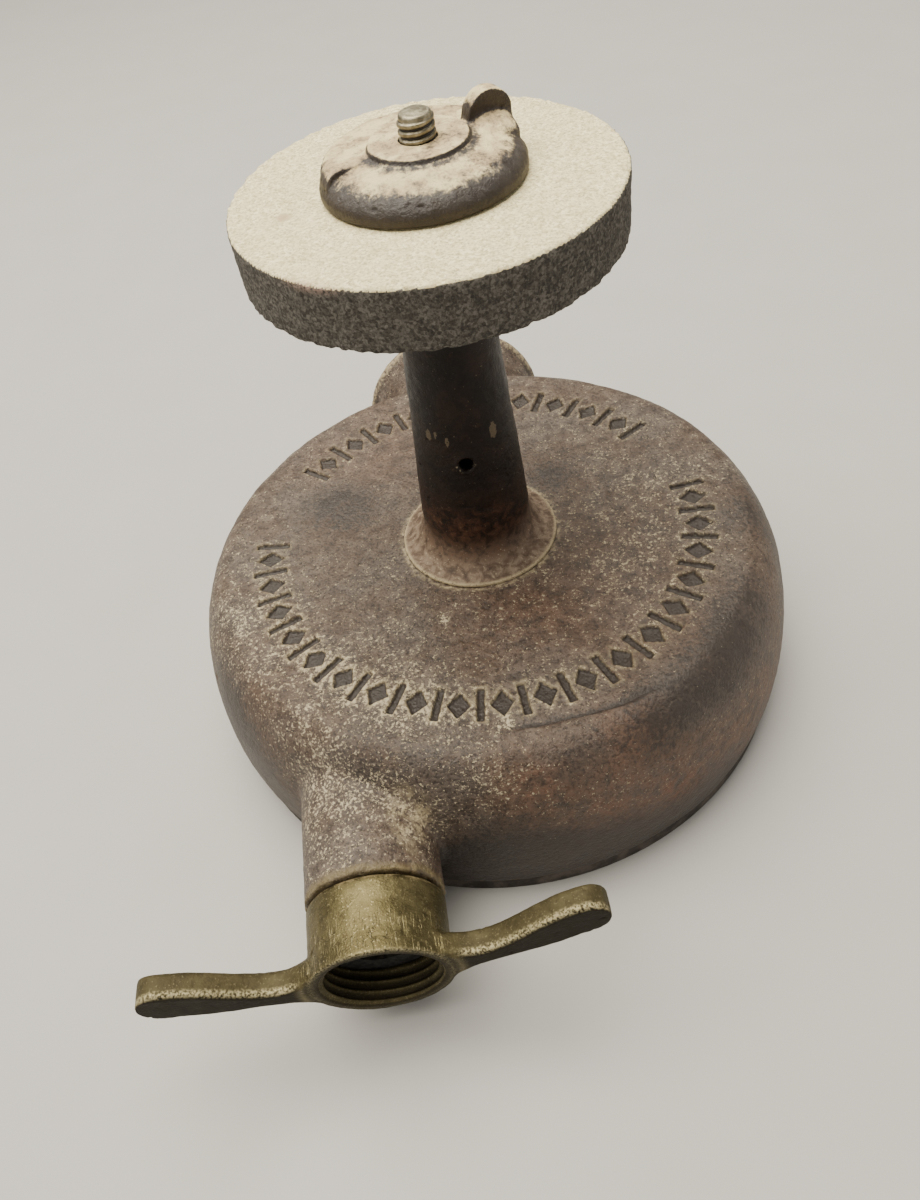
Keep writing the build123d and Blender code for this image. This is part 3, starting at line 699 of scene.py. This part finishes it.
def case_masks(points, outward):
    """Whether each point is in the spout's bore, on any inner wall, and on the skin that gets relief."""
    spout_x = points[:, 0] - OUTLET_X
    spout_z = points[:, 2] - OUTLET_Z
    in_spout = (points[:, 1] > SPOUT_BORE_Y) & (np.hypot(spout_x, spout_z) < SPOUT_BORE_R)
    in_spout &= spout_x * outward[:, 0] + spout_z * outward[:, 2] < 0
    in_neck = (from_line(points, INLET_X, INLET_Z) < NECK_BORE_R) & (points[:, 1] < NECK_BORE_Y)
    inner = under_skin(points, INNER_DEPTH) & ~in_spout
    skin = ~(inner | in_neck | (radius(points) < ROOF_HOLE_R)) & (outward[:, 2] > -0.98)
    return in_spout, inner | in_spout, skin


def case_relief(points, in_spout, inside, near, flat, crease):
    """How far each point moves out: lumps, sunk marks, crease, pits and the crust on the neck's end."""
    lift = 0.30 * MM * layered(points, 16 * MM, seed=3) + 0.10 * MM * layered(points, 3.4 * MM, seed=11)
    lift += 0.07 * MM * layered(points, 1.2 * MM, seed=23, layers=2)
    bottom = points[:, 2] < CASE_LOW.z + 5.2 * MM
    lift *= np.where(in_spout, 0.4, np.where(bottom, 0.5, 1.0))
    lift -= MARK_DEPTH * inside * flat
    lift += 0.10 * MM * near * (1 - inside) * flat
    lift -= 0.55 * MM * crease
    pits = smooth(noise(points, 2.3 * MM, seed=57), 0.55, 0.85)
    lift -= 0.28 * MM * pits * smooth(layered(points, 20 * MM, seed=61), -0.1, 0.4)
    crust = smooth(-points[:, 1], 82.5 * MM, 85.5 * MM)
    lift += 0.35 * MM * crust * noise(points, 1.6 * MM, seed=93)
    return lift


def store_case_looks(mesh, points, inner, inside, near, flat, crease):
    """Stores where dust, darker patches, painted shade, cream dust with a painted highlight on the
    spout's lip, crust and rust lie, for the material.
    """
    found = case_patches(points)
    side_share = facing(points, SIDE_AZIMUTH, 95)
    marks_dust = near * flat * (0.28 + 0.34 * side_share)
    seam = bump(radius(points) + 0.15 * MM * noise(points, 3 * MM, seed=95), SEAM_R, 0.65 * MM) * flat
    near_patch = 1 - smooth(from_place(points, NECK_PATCH, (1, 0.5, 1)), 1.0 * MM, 7.0 * MM)
    near_patch = 0.9 * near_patch * smooth(noise(points, 3 * MM, seed=97), -0.7, 0.3)
    neck_end = bump(points[:, 1] + 0.8 * MM * noise(points, 4 * MM, seed=91), NECK_END_Y, 2.2 * MM)
    # recess: the inside of the sunk marks, painted as shade and kept free of dust
    recess = smooth(inside * flat, 0.4, 0.8)
    # low_side: darkens the lower sides as painted shade, with less dust and more rust there
    low_side = 1 - smooth(points[:, 2], 8 * MM, 30 * MM)
    halo = 0.5 * near * (1 - recess) * flat * (0.35 + 0.65 * side_share)
    # painted highlight, in cream, along the outer edge of the spout's lip
    on_lip = from_line(points, OUTLET_X, OUTLET_Z) > SPOUT_LIP_R
    lip_highlight = 0.6 * on_lip * (points[:, 1] > 76 * MM)
    dust = found["dust"] + marks_dust - 0.3 * low_side - 1.5 * recess
    # dark: darker patches plus painted shade in the marks, the crease, on the inner walls, along the
    # bottom and darker towards the bottom
    dark = found["dark"] + 1.5 * recess + 0.8 * crease + 0.6 * inner
    dark += 0.45 * (1 - smooth(points[:, 2], CASE_LOW.z, CASE_LOW.z + 5 * MM)) + 0.45 * low_side
    store(mesh, "dust", dust - 0.6 * inner)
    store(mesh, "dark", dark)
    store(mesh, "cream", np.clip(0.8 * seam + near_patch + halo + lip_highlight, 0, 1))
    store(mesh, "crust", 0.9 * neck_end)
    store(mesh, "rust", np.clip(found["rust"] + 0.3 * low_side, 0, 1))


def build_case(material):
    obj = cad_copy("case_casting", "case_shell", "spout_rim")
    remesh(obj, voxel=0.6 * MM)
    round_joints(obj)
    mesh = obj.data
    points = coords(mesh)
    refine(mesh, (np.abs(radius(points) - MARK_MIDDLE_R) < 6.5 * MM) & (points[:, 2] > CASE_TOP - MM))
    points = coords(mesh)
    outward = normals(mesh)
    in_spout, inner, skin = case_masks(points, outward)
    inside, near = mark_cover(points)
    flat = smooth(points[:, 2], 45.4 * MM, 46.6 * MM) * (outward[:, 2] > 0.2)
    crease = casting_crease(points) * (points[:, 2] > 40 * MM)
    lift = case_relief(points, in_spout, inside, near, flat, crease)
    moved = points + outward * (lift * skin)[:, None]
    set_coords(mesh, inside_box(moved, np.minimum(CASE_LOW, RIM_LOW), np.maximum(CASE_HIGH, RIM_HIGH)))
    store_case_looks(mesh, points, inner, inside, near, flat, crease)
    thin_out(obj, 0.31)  # keeps about a third of the triangles; keeps the exported piece under 200,000 triangles
    finish_piece(obj, material, "housing", "case_iron", "case_shell", "spout_rim")


# ---- bearing column

OIL_HOLE_AZIMUTH = math.radians(-96)
OIL_HOLE_Z = 79.2 * MM
# Places and sizes of flaked paint, in millimetres
CHIPS = (((5.9, -10.0, 86.0), 1.5), ((-8.3, -8.0, 86.4), 1.1), ((-4.6, -10.6, 85.4), 0.8),
         ((-6.9, -9.2, 86.9), 0.7))
BUSH_BORE_R = 8.2 * MM  # nothing inside this radius is moved
BARE_FOOT_Z = 49  # mm: bare iron up to here, dark enamel from ENAMEL_Z
ENAMEL_Z = 60


def build_column(material):
    obj = cad_copy("column_casting", "bearing_column")
    remesh(obj, voxel=0.4 * MM)
    relax(obj, 3)
    mesh = obj.data
    points = coords(mesh)
    outward = normals(mesh)
    out = radius(points)
    along, across = along_across(points, OIL_HOLE_AZIMUTH)
    hole_side = along > 0
    from_hole = np.hypot(across, points[:, 2] - OIL_HOLE_Z)
    skin = (out > BUSH_BORE_R) & (points[:, 2] > CASE_TOP + 0.2 * MM) & (np.abs(outward[:, 2]) < 0.9)
    lift = 0.18 * MM * layered(points, 9 * MM, seed=5) + 0.08 * MM * layered(points, 2.2 * MM, seed=15)
    pits = smooth(noise(points, 1.5 * MM, seed=27), 0.5, 0.8)
    lift -= 0.32 * MM * pits * smooth(layered(points, 12 * MM, seed=33), -0.2, 0.4)
    lift *= np.where(hole_side, smooth(from_hole, 1.9 * MM, 3.4 * MM), 1)
    lift += 0.22 * MM * bump(from_hole, 2.15 * MM, 0.7 * MM) * hole_side
    set_coords(mesh, points + outward * (lift * skin)[:, None])
    height = points[:, 2] / MM
    front = facing(points, FRONT_AZIMUTH, 130)
    store(mesh, "foot", 1 - smooth(height, BARE_FOOT_Z, ENAMEL_Z))
    rust_band = smooth(height, BARE_FOOT_Z, 53) - smooth(height, 58, 72)
    store(mesh, "rust", rust_band * (0.2 + 0.6 * front))
    foot_rim = smooth(out, 18.9 * MM, 19.9 * MM)
    store(mesh, "cream", 0.9 * foot_rim * (height > 47.0))
    chip = np.zeros(len(points))
    for place, size in CHIPS:
        gap = from_place(points, place, (1, 1, 0.45))
        chip += 1.0 - smooth(gap, 0.4 * size * MM, size * MM)
    store(mesh, "chip", np.clip(chip, 0, 1))
    foot_dust = 0.3 * (1 - smooth(height, BARE_FOOT_Z, 58))
    hole_rim = 0.5 * bump(from_hole, 2.1 * MM, 0.7 * MM) * hole_side * (points[:, 2] < OIL_HOLE_Z)
    store(mesh, "dust", foot_dust + hole_rim)
    finish_piece(obj, material, "housing", "column_iron", "bearing_column")


# ---- grinding wheel

CLAMPED_R = 20 * MM  # under the nut the wheel's face stays flat
FREE_R = 22 * MM
STAIN = (-27.0, -4.0, WHEEL_TOP / MM)  # brown stains on the wheel's top, mm
SPECK = (-29.5, 2.0, WHEEL_TOP / MM)
BLUSH_AZIMUTH = -128  # degrees: a reddish length of the top edge


def build_wheel(material):
    obj = cad_copy("abrasive_wheel", "grinding_wheel")
    remesh(obj, voxel=0.5 * MM)
    mesh = obj.data
    points = coords(mesh)
    outward = normals(mesh)
    out = radius(points)
    skin = smooth(out, CLAMPED_R, FREE_R)
    top_edge = bump(points[:, 2], WHEEL_TOP, 1.2 * MM)
    low_edge = bump(points[:, 2], WHEEL_LOW.z, 1.2 * MM)
    edge = bump(out, WHEEL_R, 1.3 * MM) * np.maximum(top_edge, low_edge)
    lift = 0.13 * MM * noise(points, 0.9 * MM, seed=9) + 0.12 * MM * noise(points, 2.1 * MM, seed=19)
    lift -= 0.16 * MM
    lift -= 0.4 * MM * edge * smooth(noise(points, 1.8 * MM, seed=29), -0.2, 0.7)
    set_coords(mesh, points + outward * (lift * skin)[:, None])
    # rim mask: the side, and partly the underside, which the material darkens as painted shade
    side = smooth(out, WHEEL_R - 1.6 * MM, WHEEL_R - 0.1 * MM) * (outward[:, 2] < 0.55)
    store(mesh, "rim", side + 0.6 * (outward[:, 2] < -0.5))
    stain = 1 - smooth(from_place(points, STAIN), 0.6 * MM, 2.3 * MM)
    speck = 1 - smooth(from_place(points, SPECK), 0.3 * MM, 1.5 * MM)
    store(mesh, "stain", 0.85 * stain + 0.35 * speck)
    near_edge = smooth(out, WHEEL_R - 2.5 * MM, WHEEL_R)
    near_edge *= smooth(points[:, 2], WHEEL_TOP - 2.2 * MM, WHEEL_TOP)
    store(mesh, "blush", 0.6 * near_edge * facing(points, BLUSH_AZIMUTH, 13))
    finish_piece(obj, material, "spindle", "abrasive_stone", "grinding_wheel")


# ---- clamp nut

EAR_AZIMUTH = math.radians(18)
EAR_MIDDLE_R = 14.85 * MM
EAR_DISH_Z = 145.6 * MM
EAR_DISH_DEPTH = 1.3 * MM
EAR_HALF_THICK = 1.8 * MM
EAR_FOOT_Z = 143.2 * MM
SWELLING_PLACE = (14.6 * MM, -0.6 * MM, 141.6 * MM)  # along the ear, across it, up
SWELLING_SIZE = (4.9 * MM, 5.6 * MM, 3.3 * MM, 1)  # half axes, as a 4 x 4 diagonal
NUT_BORE_R = 4.4 * MM  # nothing inside this radius is moved
CUP_R = 14.6 * MM  # the hollow under the nut
CUP_TOP = 140.4  # mm
DOME_FOOT_Z = 139.6  # mm
BOSS_FOOT_Z = 143.6
BOSS_R = 9.7 * MM


def add_swelling(mesh):
    """A rise of the dome under the ear, which the voxels join to the rest."""
    bm = bmesh.new()
    bm.from_mesh(mesh)
    place = Matrix.Rotation(EAR_AZIMUTH, 4, "Z") @ Matrix.Translation(SWELLING_PLACE)
    shape = place @ Matrix.Diagonal(SWELLING_SIZE)
    bmesh.ops.create_uvsphere(bm, u_segments=40, v_segments=20, radius=1, matrix=shape)
    bm.to_mesh(mesh)
    bm.free()


def round_ear_foot(obj):
    """A fillet all round the line where the ear stands on the dome."""
    points = coords(obj.data)
    along, across = along_across(points, EAR_AZIMUTH)
    gap = np.hypot(np.maximum(np.abs(along - EAR_MIDDLE_R) - 3 * MM, 0), np.abs(across) - 1.5 * MM)
    foot = 1 - smooth(np.hypot(gap, points[:, 2] - EAR_FOOT_Z), 1.0 * MM, 3.2 * MM)
    relax(obj, 120, foot * (points[:, 2] > EAR_FOOT_Z - 2 * MM))


def build_nut(material):
    obj = cad_copy("cup_nut", "clamp_nut")
    add_swelling(obj.data)
    remesh(obj, voxel=0.25 * MM)
    relax(obj, 9)
    round_ear_foot(obj)
    mesh = obj.data
    points = coords(mesh)
    outward = normals(mesh)
    out = radius(points)
    along, across = along_across(points, EAR_AZIMUTH)
    outward_across = along_across(outward, EAR_AZIMUTH)[1]
    height = points[:, 2] / MM
    ear_front = smooth(-outward_across, 0.3, 0.7) * (np.abs(across + EAR_HALF_THICK) < 0.8 * MM)
    ear_front *= smooth(height, BOSS_FOOT_Z, 144.4) * (along > 9.6 * MM)
    from_dish = np.hypot(along - EAR_MIDDLE_R, points[:, 2] - EAR_DISH_Z)
    dish = EAR_DISH_DEPTH * (1 - smooth(from_dish, 1.2 * MM, 4.1 * MM))
    in_cup = (height < CUP_TOP) & (out < CUP_R)
    skin = (out > NUT_BORE_R) & ~in_cup & (outward[:, 2] > -0.9)
    lift = 0.20 * MM * layered(points, 5.5 * MM, seed=7) + 0.07 * MM * layered(points, 1.6 * MM, seed=17)
    pits = smooth(noise(points, 1.2 * MM, seed=37), 0.5, 0.8) * (height > 140.5)
    lift -= 0.26 * MM * pits + dish * ear_front
    set_coords(mesh, points + outward * (lift * skin)[:, None])
    slope = smooth(outward[:, 2], 0.25, 0.92)
    front = facing(points, FRONT_AZIMUTH, 130)
    dome = smooth(height, DOME_FOOT_Z, 140.8) * (1 - smooth(out, 19.4 * MM, 20.2 * MM))
    # worn shoulder, partly a painted bluish sheen, strongest on the front
    store(mesh, "worn", dome * smooth(outward[:, 2], 0.15, 0.5) * (0.45 + 0.55 * front))
    low_half = across < 0.5 * MM  # the other half of the boss is the raised one
    # boss_edge: less dust along the foot of the boss's front wall, painted shade
    boss_edge = bump(out, BOSS_R + 0.6 * MM, 1.6 * MM) * low_half * (height < 144.4)
    store(mesh, "dust", slope * smooth(height, 140.8, 143.4) - 0.5 * boss_edge)
    # painted shade: the boss's front wall, the dome's low side and the ear's hollow front face
    boss_wall = bump(out, BOSS_R, 0.9 * MM) * low_half * (height > BOSS_FOOT_Z) * (outward[:, 2] < 0.75)
    low_side = 0.7 * (1 - smooth(height, DOME_FOOT_Z, 141.6))
    store(mesh, "dark", np.clip(low_side + ear_front + 0.8 * boss_wall, 0, 1))
    finish_piece(obj, material, "clamp_nut", "nut_iron", "clamp_nut")


# ---- spindle with its threaded stud

THREAD_PITCH = 1.4 * MM
THREAD_DEPTH = 0.5 * MM
THREAD_LOW = 137.9 * MM
RING_STEP = 0.07 * MM  # height between the rings that carry the thread
STUD_NOSE = 1.3 * MM  # plain end above the thread
NOSE_R = 3.1 * MM
STUD_EDGE = 0.7 * MM  # rounding of the stud's end
STUD_CROWN = 0.25 * MM  # rise of the end above that rounding
SEGMENTS = 72  # vertices in a ring
# (radius, height) of the plain shaft below the thread, mm
SHAFT_OUTLINE = ((0.0, 8.0), (1.2, 8.0), (4.0, 11.0), (4.0, 40.0), (4.0, 80.0), (4.0, 125.2),
                 (3.5, 125.21))


def spindle_outline():
    """(radius, height) from the centre point up to the middle of the domed end."""
    outline = [(r * MM, z * MM) for r, z in SHAFT_OUTLINE]
    outline += [(STUD_R, z) for z in np.arange(THREAD_LOW, STUD_TOP - STUD_NOSE, RING_STEP)]
    edge_z = STUD_TOP - STUD_CROWN - STUD_EDGE
    outline.append((NOSE_R, STUD_TOP - STUD_NOSE))
    for step in range(9):
        tilt = math.radians(90 / 8 * step)
        outline.append((NOSE_R - STUD_EDGE * (1 - math.cos(tilt)), edge_z + STUD_EDGE * math.sin(tilt)))
    for share in (0.75, 0.5, 0.25, 0.0):
        outline.append(((NOSE_R - STUD_EDGE) * share, STUD_TOP - STUD_CROWN * share ** 2))
    return outline


def build_spindle(material):
    """Stacked rings follow the shaft's outline, and a right-hand thread is cut into the upper ones."""
    outline = np.array(spindle_outline())
    turns = np.arange(SEGMENTS) / SEGMENTS
    height = np.repeat(outline[:, 1], SEGMENTS)
    turn = np.tile(turns, len(outline))
    phase = (height / THREAD_PITCH - turn) % 1
    ridge = np.minimum(1.0, 1.25 * (0.5 + 0.5 * np.cos(2 * math.pi * phase)) ** 0.8)
    cut = smooth(height, THREAD_LOW, THREAD_LOW + 0.5 * MM)
    cut *= (height < STUD_TOP - STUD_NOSE) * (1 - ridge)
    out = np.maximum(np.repeat(outline[:, 0], SEGMENTS) - THREAD_DEPTH * cut, 0)
    angle = 2 * math.pi * turn
    points = np.stack([out * np.cos(angle), out * np.sin(angle), height], axis=1)
    faces = []
    for low in range(0, len(points) - SEGMENTS, SEGMENTS):
        for i in range(SEGMENTS):
            j = (i + 1) % SEGMENTS
            faces.append((low + i, low + j, low + SEGMENTS + j, low + SEGMENTS + i))
    mesh = bpy.data.meshes.new("spindle_shaft")
    mesh.from_pydata(points, [], faces)
    store(mesh, "crest", 1 - cut)
    bm = bmesh.new()
    bm.from_mesh(mesh)
    bmesh.ops.remove_doubles(bm, verts=bm.verts, dist=1e-6)
    bm.to_mesh(mesh)
    bm.free()
    obj = new_object("spindle_shaft", mesh)
    points = coords(mesh)
    worn = (0.05 * MM * noise(points, 1.4 * MM, seed=13) - 0.05 * MM) * (points[:, 2] > THREAD_LOW)
    set_coords(mesh, points + normals(mesh) * worn[:, None])
    finish_piece(obj, material, "spindle", "spindle_steel", "spindle")


# ---- wing coupling

HOSE_R = 12.2 * MM  # minor radius of the hose thread
HOSE_WALL_R = (11.5 * MM, 12.95 * MM)  # radii between which a point is on the threaded wall
HOSE_PITCH = 2.2 * MM
HOSE_DEPTH = 1.15 * MM
HOSE_LENGTH = 7.6 * MM
BORE_LIMIT_R = 14.2 * MM  # the bore's walls lie inside this radius
BORE_END_Y = -88 * MM
COLLAR_R = 14.6 * MM  # the outer skin lies outside this radius
WING_ROOT_R = (16.5 * MM, 19 * MM)  # where the collar turns into the wings


def hose_thread(from_mouth, out, angle):
    """How far each point moves out from the bore's axis, and how deep in a groove it is, 0 to 1."""
    wall = (out > HOSE_WALL_R[0]) & (out < HOSE_WALL_R[1])
    wall &= (from_mouth > 0.6 * MM) & (from_mouth < HOSE_LENGTH)
    phase = (from_mouth / HOSE_PITCH + angle / (2 * math.pi)) % 1
    groove = np.minimum(1.0, 0.65 - 0.65 * np.cos(2 * math.pi * phase))
    fade = smooth(from_mouth, 0.5 * MM, 1.6 * MM)
    fade *= 1 - smooth(from_mouth, HOSE_LENGTH - 1.2 * MM, HOSE_LENGTH)
    return wall * fade * (HOSE_R - out + HOSE_DEPTH * groove), groove * wall


def store_coupling_looks(mesh, points, outward, from_mouth, out, in_groove):
    """Stores painted highlights on the upper edges, painted shade on the front faces and in the bore, the
    scratched collar and the crust at the neck.
    """
    inside = (out < 14 * MM) & (from_mouth > 0.4 * MM)
    wing = smooth(out, *WING_ROOT_R)
    front_face = smooth(-outward[:, 1], 0.35, 0.75)
    mouth_face = front_face * (1 - smooth(out, 15.6 * MM, 17.2 * MM))
    # edge: painted highlight on the upward-facing wing ridge by the mouth and on the top of the mouth's
    # rim
    ridge = bump(from_mouth, 0.9 * MM, 1.2 * MM) * wing * smooth(outward[:, 2], 0.25, 0.7)
    lip = bump(from_mouth, 0.0, 1.0 * MM) * bump(out, 15.0 * MM, 1.2 * MM)
    lip *= smooth(outward[:, 2], -0.2, 0.4)
    store(mesh, "edge", np.clip(0.7 * ridge + 0.6 * lip, 0, 1))
    # dark: painted shade on the wings' front faces and the mouth's face, and in the bore, darker in the
    # thread's grooves
    shade = np.maximum(0.95 * wing * front_face, 0.8 * mouth_face) + 0.5 * wing * (1 - front_face)
    bore_shade = 0.35 + 0.55 * in_groove
    store(mesh, "dark", np.clip(inside * bore_shade + shade * (1 - inside), 0, 1))
    near_mouth = 1 - smooth(from_mouth, 5 * MM, 12 * MM)
    store(mesh, "collar", (1 - smooth(out, 16 * MM, 18 * MM)) * near_mouth)
    ragged_y = points[:, 1] + 0.6 * MM * noise(points, 3 * MM, seed=48)
    store(mesh, "crust", 0.8 * smooth(ragged_y, COUPLING_HIGH.y - 3 * MM, COUPLING_HIGH.y))


def build_coupling(material):
    obj = cad_copy("wing_socket", "wing_coupling")
    remesh(obj, voxel=0.3 * MM)
    points = coords(obj.data)
    bore = (from_line(points, INLET_X, INLET_Z) < BORE_LIMIT_R) & (points[:, 1] < BORE_END_Y)
    relax(obj, 18, np.where(bore, 0.1, 0.75))
    mesh = obj.data
    points = coords(mesh)
    outward = normals(mesh)
    away_x = points[:, 0] - INLET_X
    away_z = points[:, 2] - INLET_Z
    out = np.hypot(away_x, away_z)
    from_mouth = points[:, 1] - MOUTH_Y
    push, in_groove = hose_thread(from_mouth, out, np.arctan2(away_z, away_x))
    lumps = 0.13 * MM * layered(points, 7 * MM, seed=8) + 0.06 * MM * layered(points, 1.8 * MM, seed=18)
    dents = smooth(noise(points, 2.6 * MM, seed=28), 0.55, 0.85)
    skin = (out > COLLAR_R) | (from_mouth < 0.2 * MM)
    skin &= points[:, 1] < COUPLING_HIGH.y - 0.45 * MM
    lift = (lumps - 0.2 * MM * dents) * skin
    radial = np.stack([away_x, np.zeros(len(out)), away_z], axis=1) / np.maximum(out, 1e-6)[:, None]
    moved = points + outward * lift[:, None] + radial * push[:, None]
    set_coords(mesh, inside_box(moved, COUPLING_LOW, COUPLING_HIGH))
    store_coupling_looks(mesh, points, outward, from_mouth, out, in_groove)
    finish_piece(obj, material, "coupling", "coupling_brass", "wing_coupling")


# ---- CAD nodes that keep their meshes

def dress(material, *nodes):
    for node in nodes:
        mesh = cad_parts[node].data
        mesh.materials.clear()
        mesh.materials.append(material)


def dress_cad_nodes():
    cover = dull_solid("cover_iron", (0.035, 0.03, 0.027), (0.12, 0.1, 0.085), 5, 0.3, 0.75)
    dress(cover, "bottom_cover")
    paper = dull_solid("gasket_paper", (0.20, 0.15, 0.10), (0.36, 0.29, 0.2), 1.5, 0.05)
    dress(paper, "cover_gasket", "lower_blotter", "upper_blotter")
    screws = plain_metal("screw_steel", (0.16, 0.14, 0.12), (0.36, 0.34, 0.31), 0.45)
    dress(screws, "cover_screws", "bucket_rivets")
    pins = plain_metal("pin_steel", (0.24, 0.22, 0.18), (0.44, 0.41, 0.34), 0.34)
    dress(pins, "thrust_button", "hub_pin", "flange_pin")
    bronze = plain_metal("bush_bronze", (0.26, 0.17, 0.08), (0.48, 0.34, 0.18), 0.36)
    dress(bronze, "lower_bush", "upper_bush", "packing_gland", "runner_hub")
    felt = dull_solid("felt", (0.12, 0.09, 0.055), (0.27, 0.21, 0.13), 0.8, 0.2, 0.95)
    dress(felt, "oil_wick", "shaft_packing")
    brass = plain_metal("fitting_brass", (0.30, 0.22, 0.09), (0.58, 0.46, 0.23), 0.34)
    dress(brass, "jet_nozzle", "inlet_tailpiece", "inlet_screen")
    rubber = dull_solid("washer_rubber", (0.018, 0.018, 0.018), (0.05, 0.048, 0.045), 1.2, 0.08, 0.8)
    dress(rubber, "hose_washer")
    sheet = plain_metal("runner_steel", (0.20, 0.18, 0.16), (0.42, 0.40, 0.37), 0.4)
    dress(sheet, "runner_disc")
    buckets = plain_metal("runner_brass", (0.28, 0.20, 0.08), (0.52, 0.42, 0.21), 0.42, 3.0, 0.15)
    dress(buckets, "runner_buckets", "slinger")
    locknut = dull_solid("locknut_iron", (0.03, 0.024, 0.02), (0.1, 0.075, 0.06), 3, 0.25, 0.7)
    dress(locknut, "column_locknut")
    dress(nut_material("flange_iron"), "back_flange")
    lead = dull_solid("lead", (0.13, 0.13, 0.14), (0.28, 0.28, 0.30), 2.0, 0.1, 0.6)
    dress(lead, "wheel_bush")


# ---- stage, light, camera

FLOOR_REACH = 3.0  # metres from the middle to each side
LIGHT_TARGET = (0, 0, 0.06)
ROOM_COLOUR = (0.95, 0.92, 0.87, 1)
ROOM_STRENGTH = 0.30


def build_floor():
    mesh = bpy.data.meshes.new("floor")
    corners = [(x * FLOOR_REACH, y * FLOOR_REACH, 0) for x, y in ((-1, -1), (1, -1), (1, 1), (-1, 1))]
    mesh.from_pydata(corners, [], [(0, 1, 2, 3)])
    floor = new_object("floor", mesh)
    look = Look("floor_paint")
    fine = look.grain(30, 3, 0.5)
    colour = look.blend(fine, (0.46, 0.45, 0.43), (0.50, 0.49, 0.47))
    mesh.materials.append(look.finish(colour, 0.6, fine, 0.05, specular=0.3))


def add_light(name, place, size, power, colour):
    """A rectangular light of the given width and height that faces LIGHT_TARGET."""
    light = bpy.data.lights.new(name, "AREA")
    light.shape = "RECTANGLE"
    light.size, light.size_y = size
    light.energy = power
    light.color = colour
    obj = new_object(name, light)
    obj.location = place
    obj.rotation_euler = (Vector(LIGHT_TARGET) - Vector(place)).to_track_quat("-Z", "Y").to_euler()


def build_lights():
    add_light("key", (-0.20, 0.22, 1.12), (1.3, 1.1), 38, (1.0, 0.94, 0.81))
    add_light("fill", (-0.9, -0.75, 0.55), (0.8, 0.6), 2.4, (1.0, 0.95, 0.87))
    add_light("side", (0.95, -0.2, 0.5), (0.6, 0.6), 1.8, (1.0, 0.97, 0.93))
    world = bpy.data.worlds.new("room")
    world.use_nodes = True
    background = world.node_tree.nodes["Background"]
    background.inputs["Color"].default_value = ROOM_COLOUR
    background.inputs["Strength"].default_value = ROOM_STRENGTH
    bpy.context.scene.world = world


# Where the photo's camera stands, and which ways are right and up in its picture
CAMERA_PLACE = (-0.008015, -0.180039, 0.215558)
CAMERA_RIGHT = (0.98192, -0.13709, -0.130539)
CAMERA_UP = (0.188893, 0.75469, 0.628301)
LENS_MM = 28.23
SENSOR_MM = 36


def build_camera():
    data = bpy.data.cameras.new("camera")
    data.lens = LENS_MM
    data.sensor_width = SENSOR_MM
    data.shift_y = 0.0443
    data.clip_start = 0.01
    camera = new_object("camera", data)
    right = Vector(CAMERA_RIGHT).normalized()
    back = right.cross(Vector(CAMERA_UP)).normalized()
    up = back.cross(right)
    turn = Matrix((right, up, back)).transposed().to_4x4()
    camera.matrix_world = Matrix.Translation(CAMERA_PLACE) @ turn
    bpy.context.scene.camera = camera


def main():
    build_camera()
    build_lights()
    build_floor()
    build_case(case_material())
    build_column(column_material())
    build_wheel(stone_material())
    build_nut(nut_material())
    build_spindle(thread_material())
    build_coupling(brass_material())
    dress_cad_nodes()


main()
